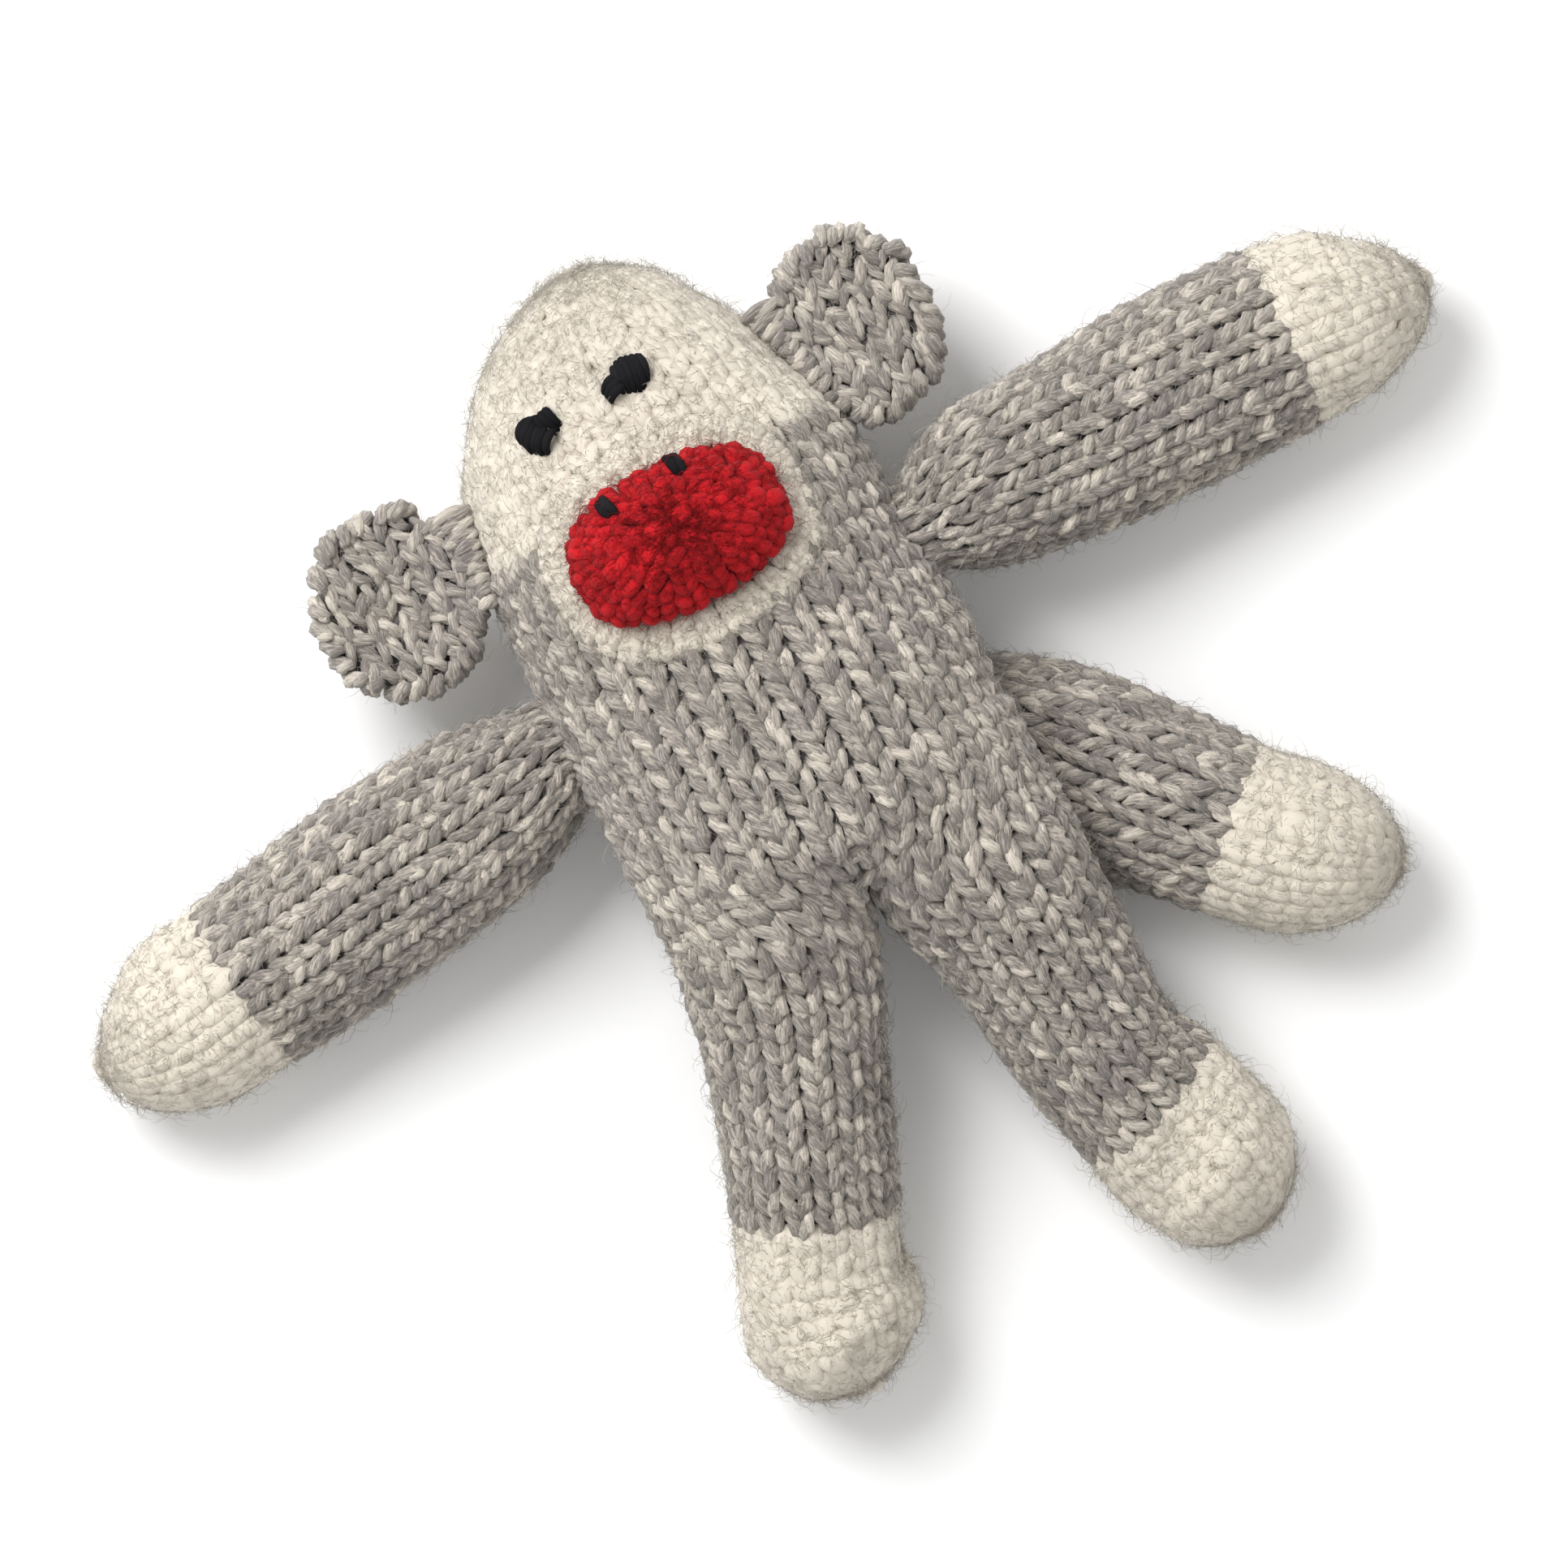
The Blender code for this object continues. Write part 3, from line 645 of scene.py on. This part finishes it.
def wool(name, dark, light, contrast=0.28, sheen=0.3, fibre=0.6, tint=None, gloss=0.15):
    """Wool yarn: plies in two colours, fibres along the yarn, uneven dye and a soft sheen."""
    material, nodes, links, shader = shader_nodes(name)
    ply, shade = nodes.new("ShaderNodeAttribute"), nodes.new("ShaderNodeAttribute")
    ply.attribute_name, shade.attribute_name = "ply", "shade"
    uv = nodes.new("ShaderNodeUVMap")
    uv.uv_map = "Yarn"
    stretch = nodes.new("ShaderNodeMapping")
    stretch.inputs["Scale"].default_value = (11.0, 0.36, 1.0)
    stretch.inputs["Rotation"].default_value = (0.0, 0.0, 0.06)
    links.new(uv.outputs["UV"], stretch.inputs["Vector"])
    fibres = nodes.new("ShaderNodeTexNoise")
    fibres.inputs["Scale"].default_value = 1.7
    fibres.inputs["Detail"].default_value = 5.0
    fibres.inputs["Roughness"].default_value = 0.7
    links.new(stretch.outputs["Vector"], fibres.inputs["Vector"])
    place = nodes.new("ShaderNodeTexCoord")
    patches = nodes.new("ShaderNodeTexNoise")
    patches.inputs["Scale"].default_value = 220.0
    patches.inputs["Detail"].default_value = 3.0
    links.new(place.outputs["Object"], patches.inputs["Vector"])
    streak = add_math(nodes, links, "MULTIPLY_ADD", fibres.outputs["Fac"], fibre * 2)
    streak.node.inputs[2].default_value = -fibre
    blend = add_math(nodes, links, "ADD", ply.outputs["Fac"], streak)
    blend.node.use_clamp = True
    mix = nodes.new("ShaderNodeMix")
    mix.data_type = "RGBA"
    mix.inputs["A"].default_value = (*dark, 1.0)
    mix.inputs["B"].default_value = (*light, 1.0)
    if tint:
        dye = nodes.new("ShaderNodeTexNoise")
        dye.inputs["Scale"].default_value = 70.0
        links.new(place.outputs["Object"], dye.inputs["Vector"])
        uneven = nodes.new("ShaderNodeMix")
        uneven.data_type = "RGBA"
        uneven.inputs["A"].default_value = (*dark, 1.0)
        uneven.inputs["B"].default_value = (*tint, 1.0)
        links.new(dye.outputs["Fac"], uneven.inputs["Factor"])
        links.new(uneven.outputs["Result"], mix.inputs["A"])
    links.new(blend, mix.inputs["Factor"])
    total = add_math(nodes, links, "ADD", shade.outputs["Fac"], fibres.outputs["Fac"])
    total = add_math(nodes, links, "ADD", total, patches.outputs["Fac"])
    scale = nodes.new("ShaderNodeMapRange")
    scale.inputs["From Min"].default_value = 0.8
    scale.inputs["From Max"].default_value = 2.2
    scale.inputs["To Min"].default_value = 1.0 - contrast
    scale.inputs["To Max"].default_value = 1.0 + contrast
    links.new(total, scale.inputs["Value"])
    tone = nodes.new("ShaderNodeHueSaturation")
    links.new(scale.outputs["Result"], tone.inputs["Value"])
    links.new(mix.outputs["Result"], tone.inputs["Color"])
    links.new(tone.outputs["Color"], shader.inputs["Base Color"])
    bump = nodes.new("ShaderNodeBump")
    bump.inputs["Strength"].default_value = 0.8
    bump.inputs["Distance"].default_value = 0.0003
    links.new(fibres.outputs["Fac"], bump.inputs["Height"])
    links.new(bump.outputs["Normal"], shader.inputs["Normal"])
    shader.inputs["Roughness"].default_value = 0.95
    shader.inputs["Specular IOR Level"].default_value = gloss
    shader.inputs["Sheen Weight"].default_value = sheen
    shader.inputs["Sheen Roughness"].default_value = 0.6
    return material


GREY_MARL = wool(
    "grey_marl_yarn",
    (0.175, 0.145, 0.148),
    (0.70, 0.635, 0.54),
    contrast=0.2,
    fibre=1.5,
    tint=(0.20, 0.185, 0.15),
)
# The inner sheets are darker than their yarns: painted shade that fills the gaps between the stitches.
GREY_GAP_SHADE = wool("grey_marl_gap_shade", (0.14, 0.122, 0.12), (0.28, 0.25, 0.235))
CREAM = wool("cream_yarn", (0.66, 0.592, 0.49), (0.73, 0.668, 0.565), contrast=0.06, fibre=0.5)
CREAM_GAP_SHADE = wool("cream_gap_shade", (0.54, 0.43, 0.29), (0.60, 0.49, 0.34), contrast=0.1)
RED = wool("red_yarn", (0.21, 0.002, 0.005), (0.46, 0.008, 0.013), contrast=0.3, sheen=0.04, fibre=0.9)
RED_GAP_SHADE = wool("red_gap_shade", (0.10, 0.001, 0.003), (0.16, 0.003, 0.005))
BLACK = wool("black_yarn", (0.004, 0.004, 0.005), (0.016, 0.016, 0.018), sheen=0.0, gloss=0.03)
GREY, PALE, SCARLET, DARK = [GREY_MARL, GREY_GAP_SHADE], [CREAM, CREAM_GAP_SHADE], [RED, RED_GAP_SHADE], [BLACK, BLACK]
# For each yarn: how full and how flat it is, how deep its stitches dip, how far down the inner side lies.
KNITTING = {
    "grey_marl_yarn": (1.07, 1.0, 1.0, 0.9),
    "cream_yarn": (1.34, 0.6, 0.45, 0.35),
    "red_yarn": (1.12, 0.9, 0.9, 0.8),
}


def finish(mesh, name, yarns, nodes, body=None, bend=None):
    """Makes the mesh a piece that rides on one body, or, where a bend is given, stays unparented in place,
    and hides the CAD nodes it stands for.
    """
    piece = mesh.build(name, yarns)
    if bend:
        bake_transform(piece)
    else:
        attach(piece, body)
    if nodes:
        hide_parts(*nodes)


def fabric(
    surface, start, end, columns, opening, yarns, fewest=8, fibres=GREY_FUZZ, loose=1.0, row=ROW, tip=False
):
    """One fabric of a stuffed tube, with its inner side and its loose fibres."""
    mesh = YarnMesh()
    knit(mesh, surface, start, end, columns, opening, yarns, fewest, loose, row)
    back(mesh, surface, start, end, 3 * columns, KNITTING[yarns[0].name][3])
    if fibres:
        fuzz(mesh, surface, start, end, fibres)
    if tip:
        gather(mesh, surface)
    return mesh


def make_body():
    tube = Tube(BODY, facing=(0.0, 1.0, 0.0), lumps=0.2, seed=3)
    neck = np.interp(NECK_Y, tube.centres[:, 1], tube.reach)
    waist = np.interp(WAIST_Y, tube.centres[:, 1], tube.reach)
    torso = fabric(tube, waist, neck, BODY_COLUMNS, 1, GREY, fibres=0.0)
    finish(torso, "torso_knit", GREY, ["torso_skin", "body_stuffing"], body="body")
    loose_fibres = YarnMesh()
    fuzz(loose_fibres, tube, waist, neck, GREY_FUZZ)
    finish(loose_fibres, "torso_fuzz", GREY, [], body="body")
    head = fabric(tube, neck, tube.length - 0.5, BODY_COLUMNS, 1, PALE, fibres=CREAM_FUZZ, tip=True)
    finish(head, "head_knit", PALE, ["head_skin", "crown_gather"], body="body")


def make_leg(side, sign):
    tube = LegTube(LEG[side], sign, seed=5 + sign)
    top = tube.distance_at((tube.centres[0, 0], WAIST_Y))
    ankle = tube.distance_at(ANKLE[side])
    knit_leg = fabric(tube, top, ankle, LIMB_COLUMNS, -1, GREY)
    bend = ("body", f"leg_{side}", (sign * 14.0, WAIST_Y, 26.0), (sign * 16.5, -14.0, 23.0))
    nodes = [f"leg_{side}_skin", f"leg_{side}_stuffing"]
    finish(knit_leg, f"leg_{side}_knit", GREY, nodes, bend=bend)
    foot = fabric(tube, ankle, tube.length - 0.4, LIMB_COLUMNS, -1, PALE, fibres=CREAM_FUZZ, tip=True)
    nodes = [f"foot_{side}", f"foot_{side}_gather"]
    finish(foot, f"foot_{side}_knit", PALE, nodes, body=f"leg_{side}")
    return tube


def sew_root(tube, reach, count, radius=0.75):
    """Slanting stitches round a limb's root, from the body's fabric to the limb's."""
    mesh = YarnMesh()
    turns = np.arange(count) / count
    near, _ = tube.place(turns, np.full(count, 0.2), np.full(count, 1.0))
    far, _ = tube.place(turns + 0.5 / count, np.full(count, reach), np.full(count, 0.0))
    top, out = tube.place(turns + 0.25 / count, np.full(count, reach / 2), np.full(count, 1.1))
    path, out, radii = arched(np.stack([near, far], axis=1), top, out, radius)
    lay_yarn(mesh, path, out, radii, True)
    return mesh


def make_arm(side, sign):
    tube = Tube(ARM[side], seed=8 + sign)
    wrist = tube.distance_at(WRIST[side])
    sleeve = fabric(tube, 0.5, wrist, LIMB_COLUMNS, 1, GREY)
    bend = (f"shoulder_{side}", f"arm_{side}", tube.centres[6], tube.centres[42])
    nodes = [f"arm_{side}_skin", f"arm_{side}_stuffing"]
    finish(sleeve, f"arm_{side}_knit", GREY, nodes, bend=bend)
    hand = fabric(tube, wrist, tube.length - 0.4, LIMB_COLUMNS, 1, PALE, fibres=CREAM_FUZZ, tip=True)
    nodes = [f"hand_{side}", f"hand_{side}_gather"]
    finish(hand, f"hand_{side}_knit", PALE, nodes, body=f"arm_{side}")
    seam = sew_root(tube, 4.2, 11)
    finish(seam, f"shoulder_{side}_stitches", GREY, [f"shoulder_{side}_seam"], body=f"shoulder_{side}")


def make_tail():
    tube = Tube(TAIL, seed=20)
    change = tube.distance_at(TAIL_CHANGE)
    tail = fabric(tube, 0.5, change, LIMB_COLUMNS, 1, GREY)
    bend = ("tail_root", "tail", tube.centres[2], tube.centres[26])
    finish(tail, "tail_knit", GREY, ["tail_skin", "tail_stuffing"], bend=bend)
    tip = fabric(tube, change, tube.length - 0.4, LIMB_COLUMNS, 1, PALE, fibres=CREAM_FUZZ, tip=True)
    finish(tip, "tail_tip_knit", PALE, ["tail_tip", "tail_gather"], body="tail")
    seam = sew_root(tube, 3.0, 7, 0.6)
    finish(seam, "tail_stitches", GREY, ["tail_seam"], body="tail_root")


def make_crotch(legs):
    """Short stitches that close the fork between the legs."""
    mesh = YarnMesh()
    count = 4
    reach = np.linspace(9.5, 15.0, count) + rng.normal(0, 0.3, count)
    turns = np.full(count, 0.045) + rng.uniform(0, 0.02, count)
    left, out = legs[0].place(turns, reach, np.full(count, -0.3))
    right, _ = legs[1].place(turns, reach + rng.normal(0, 1.0, count), np.full(count, -0.3))
    tops = (left + right) / 2 + out * (0.0, 0.1, 0.2)
    path, out, radii = arched(np.stack([left, right], axis=1), tops, out, 1.0)
    lay_yarn(mesh, path, out, radii, True)
    finish(mesh, "crotch_stitches", GREY, ["crotch_seam"], body="body")


# ---------------------------------------------------------------- the face
class EarFace(Surface):
    """One face of an ear: a dished oval disc, read by x and y from -1 to 1, front or back."""

    def __init__(self, side, facing):
        self.x, self.y, self.wide, self.high = EAR[side]
        self.facing = facing

    def at(self, x, y, lift):
        reach = np.clip(np.hypot(x, y), 0, 1)
        thick = EAR_THICKNESS * np.sqrt(np.clip(1 - reach**6, 0, 1)) - EAR_DISH * (1 - reach**2)
        height = EAR_HEIGHT + self.facing * (thick + lift) + EAR_CUP * reach**2
        return np.stack([self.x + x * self.wide, self.y + y * self.high, height], axis=-1)

    def round_point(self, turn, reach, height):
        """Points at an angle and a share of the way to the rim, at a height."""
        x = self.x + reach * self.wide * np.cos(turn)
        y = self.y + reach * self.high * np.sin(turn)
        return np.stack([x, y, height + 0 * turn], axis=-1)


def bumps(mesh, face):
    """Short fat stitches all over one face of an ear, slanting to and fro and a little uneven."""
    columns = np.arange(-face.wide, face.wide, EAR_COLUMN)
    x, y = np.meshgrid(columns, np.arange(-face.high, face.high, EAR_ROW))
    odd = np.arange(x.shape[1]) % 2
    slant = np.radians(90 + 24 * (2 * odd - 1) + rng.normal(0, 14, x.shape))
    x = x + rng.normal(0, 0.3, x.shape)
    y = y + rng.normal(0, 0.4, x.shape) + 0.4 * EAR_ROW * odd
    inside = np.hypot(x / face.wide, y / face.high) < 0.9
    x, y, slant = x[inside][:, None], y[inside][:, None], slant[inside][:, None]
    t = np.linspace(-1, 1, 7)[None]
    lift = 1.15 * np.cos(1.4 * t) - 0.75 + rng.normal(0, 0.16, x.shape)
    along = t * EAR_STITCH / 2
    path = face.at((x + along * np.cos(slant)) / face.wide, (y + along * np.sin(slant)) / face.high, lift)
    out = np.zeros_like(path) + (0.0, 0.0, face.facing)
    radii = 1.0 * (0.5 + 0.5 * np.cos(1.2 * t)) * (1 + 0.12 * rng.normal(0, 1, x.shape))
    lay_yarn(mesh, path, out, radii, True)


def bind_rim(mesh, face):
    """The rim of an ear: fat stitches bound over its edge from front to back."""
    angle = np.arange(EAR_RIM_STITCHES) + 0.2 * rng.normal(0, 1, EAR_RIM_STITCHES)
    angle = 2 * math.pi * angle[:, None] / EAR_RIM_STITCHES
    t = np.linspace(-1, 1, 9)[None]
    turn = angle + 0.15 * t
    reach = 0.83 + 0.14 * np.cos(1.5 * t) + 0.03 * rng.normal(0, 1, (EAR_RIM_STITCHES, 1))
    height = EAR_HEIGHT + EAR_CUP + (EAR_THICKNESS + 0.3) * np.sin(1.45 * t)
    path = face.round_point(turn, reach, height)
    out = unit(path - (face.x, face.y, EAR_HEIGHT + EAR_CUP))
    radii = EAR_RIM_YARN * np.sin(np.linspace(0.5, math.pi - 0.5, 9))[None]
    lay_yarn(mesh, path, out, radii * np.ones((EAR_RIM_STITCHES, 1)), True)


def fill_ear(mesh, face):
    """The closed core under an ear's stitches, in the darker inner material that paints shade between them.
    """
    rings = np.sin(np.linspace(-1.35, 1.35, 10))[:, None]
    turn = 2 * math.pi * np.arange(40)[None] / 40
    reach = 0.9 * np.sqrt(1 - rings**2)
    height = EAR_HEIGHT + EAR_CUP * reach**2 + rings * (EAR_THICKNESS - EAR_DISH - 0.5)
    mesh.add_sheet(face.round_point(turn, reach, height))


def fuzz_ear(mesh, face):
    """Loose fibres over both faces of an ear, more of them at the front."""
    many = EAR_FIBRES
    angle, reach = rng.uniform(0, 2 * math.pi, (many, 1)), np.sqrt(rng.uniform(0.05, 1, (many, 1)))
    facing = np.where(rng.uniform(0, 1, (many, 1)) < 0.6, 1.0, -1.0)
    t = np.linspace(0, 1, 4)[None]
    heading = rng.uniform(0, 2 * math.pi, (many, 1)) + rng.normal(0, 1.2, (many, 1)) * t
    length = 1.0 + 3.5 * rng.uniform(0, 1, (many, 1)) ** 3
    x = face.x + reach * face.wide * np.cos(angle) + length * t * np.cos(heading)
    y = face.y + reach * face.high * np.sin(angle) + length * t * np.sin(heading)
    z = EAR_HEIGHT + facing * (EAR_THICKNESS + 0.1 + 0.5 * length * t * rng.uniform(0, 1, (many, 1)))
    path = np.stack([x, y, z], axis=-1)
    out = np.zeros_like(path) + np.stack([0 * facing, 0 * facing, facing], axis=-1)
    radii = FIBRE * (1 - 0.6 * t) * np.ones((many, 1))
    mesh.add_yarn(path, out, radii, np.full(many, 0.8), rng.uniform(0.3, 1, many), 3)


def sew_ear(face, side, sign):
    """The stitches that hold an ear, from the head's fabric to the ear's edge."""
    count = EAR_SEAM_STITCHES
    y = np.linspace(*EAR_SEAM_SPAN, count)
    half = np.interp(face.y + y, body_rows[:, 1], body_rows[:, 3])
    x = np.interp(face.y + y, body_rows[:, 1], body_rows[:, 0]) + sign * (half - 0.9)
    near = np.stack([x, face.y + y, np.full(count, EAR_HEIGHT + 3.0)], axis=-1)
    edge = face.x - sign * face.wide * np.sqrt(1 - (y / face.high) ** 2)
    far_x = sign * np.maximum(sign * x + 2.6, sign * edge + 1.4)
    far = np.stack([far_x, near[:, 1] + 0.5, near[:, 2] - 0.5], axis=-1)
    tops = (near + far) / 2 + (0, 0, 0.5)
    upward = np.tile((0.0, 0.0, 1.0), (count, 1))
    path, out, radii = arched(np.stack([near, far], axis=1), tops, upward, EAR_SEAM_YARN)
    seam = YarnMesh()
    lay_yarn(seam, path, out, radii, True)
    finish(seam, f"ear_{side}_stitches", GREY, [f"ear_{side}_seam"], body="body")


def make_ear(side, sign):
    """Rough bumpy knitting on both faces, and a bound rim. The stitches that sew it to the head ride on the
    body.
    """
    mesh = YarnMesh()
    for facing in (1, -1):
        bumps(mesh, EarFace(side, facing))
    face = EarFace(side, 1)
    bind_rim(mesh, face)
    fill_ear(mesh, face)
    fuzz_ear(mesh, face)
    hinge_edge = (face.x - sign * face.wide, face.y, EAR_HEIGHT)
    bend_end = (face.x - sign * 0.1 * face.wide, face.y, EAR_HEIGHT)
    bend = ("body", f"ear_{side}", hinge_edge, bend_end)
    finish(mesh, f"ear_{side}_knit", GREY, [f"ear_{side}"], bend=bend)
    sew_ear(face, side, sign)


def satin(mesh, centre, groups, lift, bulge=None):
    """Black sewing stitches side by side on the face.

    Each group: shift right, shift up, direction in degrees, length of a stitch, number of stitches.
    """
    for right, up, direction, length, count in groups:
        angle = math.radians(direction)
        along = np.array((math.cos(angle), math.sin(angle)))
        across = np.array((-math.sin(angle), math.cos(angle)))
        for i in range(count):
            step = (i - (count - 1) / 2) * SATIN_STEP
            size = length * math.sqrt(1 - (step / (count * SATIN_STEP / 2 + SATIN_YARN)) ** 2)
            middle = np.array((right, up)) + across * step + along * 0.12 * rng.normal()
            t = np.linspace(-1, 1, 9)
            place = np.array(centre)[:, None] + middle[:, None] + along[:, None] * t * size / 2
            height = lift * np.cos(t * 1.35) - 0.3 - 1.3 * t**4 + 0.1 * rng.normal()
            if bulge:
                height = height + bulge(place[0], place[1])
            path, out = on_body(place[0], place[1], height)
            radii = SATIN_YARN * (0.3 + 0.7 * np.cos(t * 1.3))
            lay_yarn(mesh, path[None], out[None], radii[None], False)


def muzzle_bulge(x, y):
    reach = np.hypot((x - MUZZLE_CENTRE[0]) / MUZZLE[0], (y - MUZZLE_CENTRE[1]) / MUZZLE[1])
    return 0.6 + MUZZLE_HEIGHT * np.sqrt(np.maximum(0.0, 1 - np.minimum(reach, 1.0) ** 2))


def make_face():
    share = 1 - np.linspace(0, 1, 24) * 0.96
    lifts = 0.6 + MUZZLE_HEIGHT * np.sqrt(1 - (0.985 * share) ** 2)
    dome = Dome(MUZZLE_CENTRE, MUZZLE - 1.0, MUZZLE * 0.04, lifts)
    muzzle = fabric(
        dome,
        0.0,
        dome.length - 0.5,
        MUZZLE_COLUMNS,
        1,
        SCARLET,
        fewest=6,
        fibres=FACE_FUZZ,
        loose=MUZZLE_LOOSE,
        row=MUZZLE_ROW,
    )
    nodes = ["muzzle", "muzzle_stuffing", "muzzle_seam"]
    finish(muzzle, "muzzle_knit", SCARLET, nodes, body="body")
    ring = Dome(MUZZLE_CENTRE, RIM, MUZZLE * 0.95, (-1.0, -0.1, 0.3, 0.5, 0.4))
    rim = YarnMesh()
    knit(rim, ring, 0.0, ring.length, RIM_COLUMNS, -1, PALE, loose=2.0, row=RIM_ROW)
    fuzz(rim, ring, 0.0, ring.length, FACE_FUZZ, RIM_LONGEST)
    finish(rim, "muzzle_rim_knit", PALE, ["muzzle_rim"], body="body")
    for side, groups in EYE_STITCHES.items():
        eye = YarnMesh()
        satin(eye, EYES[side], groups, EYE_LIFT)
        finish(eye, f"eye_{side}_stitches", DARK, [f"eye_{side}"], body="body")
        nostril = YarnMesh()
        satin(nostril, NOSTRILS[side], NOSTRIL_STITCHES[side], NOSTRIL_LIFT, muzzle_bulge)
        finish(nostril, f"nostril_{side}_stitches", DARK, [f"nostril_{side}"], body="body")


make_body()
legs = []
for side, sign in (("left", 1), ("right", -1)):
    legs.append(make_leg(side, sign))
    make_arm(side, sign)
    make_ear(side, sign)
make_crotch(legs)
make_tail()
make_face()

# ---------------------------------------------------------------- floor, light, camera
def area_light(name, place, size, power):
    lamp = bpy.data.lights.new(name, "AREA")
    lamp.size = size
    lamp.energy = power
    holder = bpy.data.objects.new(name, lamp)
    holder.location = place
    holder.rotation_euler = (-Vector(place)).to_track_quat("-Z", "Y").to_euler()
    bpy.context.scene.collection.objects.link(holder)


bpy.ops.mesh.primitive_plane_add(size=3.0, location=(0.0, 0.0, 0.0))
floor = bpy.context.object
floor.name = "floor"
paper, nodes, links, shader = shader_nodes("white_paper")
shader.inputs["Base Color"].default_value = (0.94, 0.94, 0.94, 1.0)
shader.inputs["Roughness"].default_value = 0.9
floor.data.materials.append(paper)

world = bpy.context.scene.world or bpy.data.worlds.new("studio")
bpy.context.scene.world = world
world.use_nodes = True
world.node_tree.nodes["Background"].inputs["Color"].default_value = (1.0, 1.0, 1.0, 1.0)
world.node_tree.nodes["Background"].inputs["Strength"].default_value = 0.69
bpy.context.scene.view_settings.view_transform = "Standard"

TURN = math.radians(-27.35)
FRAME_WIDTH = 0.2125
LENS_DISTANCE = 1.2
VIEW_CENTRE = (-3.2, 15.1)
SUBJECT_HEIGHT = 0.02
look = (np.array((*VIEW_CENTRE, 0.0)) + ORIGIN) * MM
camera_data = bpy.data.cameras.new("camera")
camera_data.sensor_width = 36.0
camera_data.lens = 36.0 * (LENS_DISTANCE - SUBJECT_HEIGHT) / FRAME_WIDTH
camera = bpy.data.objects.new("camera", camera_data)
camera.location = (look[0], look[1], LENS_DISTANCE)
camera.rotation_euler = (0.0, 0.0, TURN)
bpy.context.scene.collection.objects.link(camera)
bpy.context.scene.camera = camera
up_left = Vector((-math.cos(TURN) - math.sin(TURN), -math.sin(TURN) + math.cos(TURN), 0.0)).normalized()
area_light("key", up_left * 0.5 + Vector((0, 0, 0.7)), 0.4, 6.2)
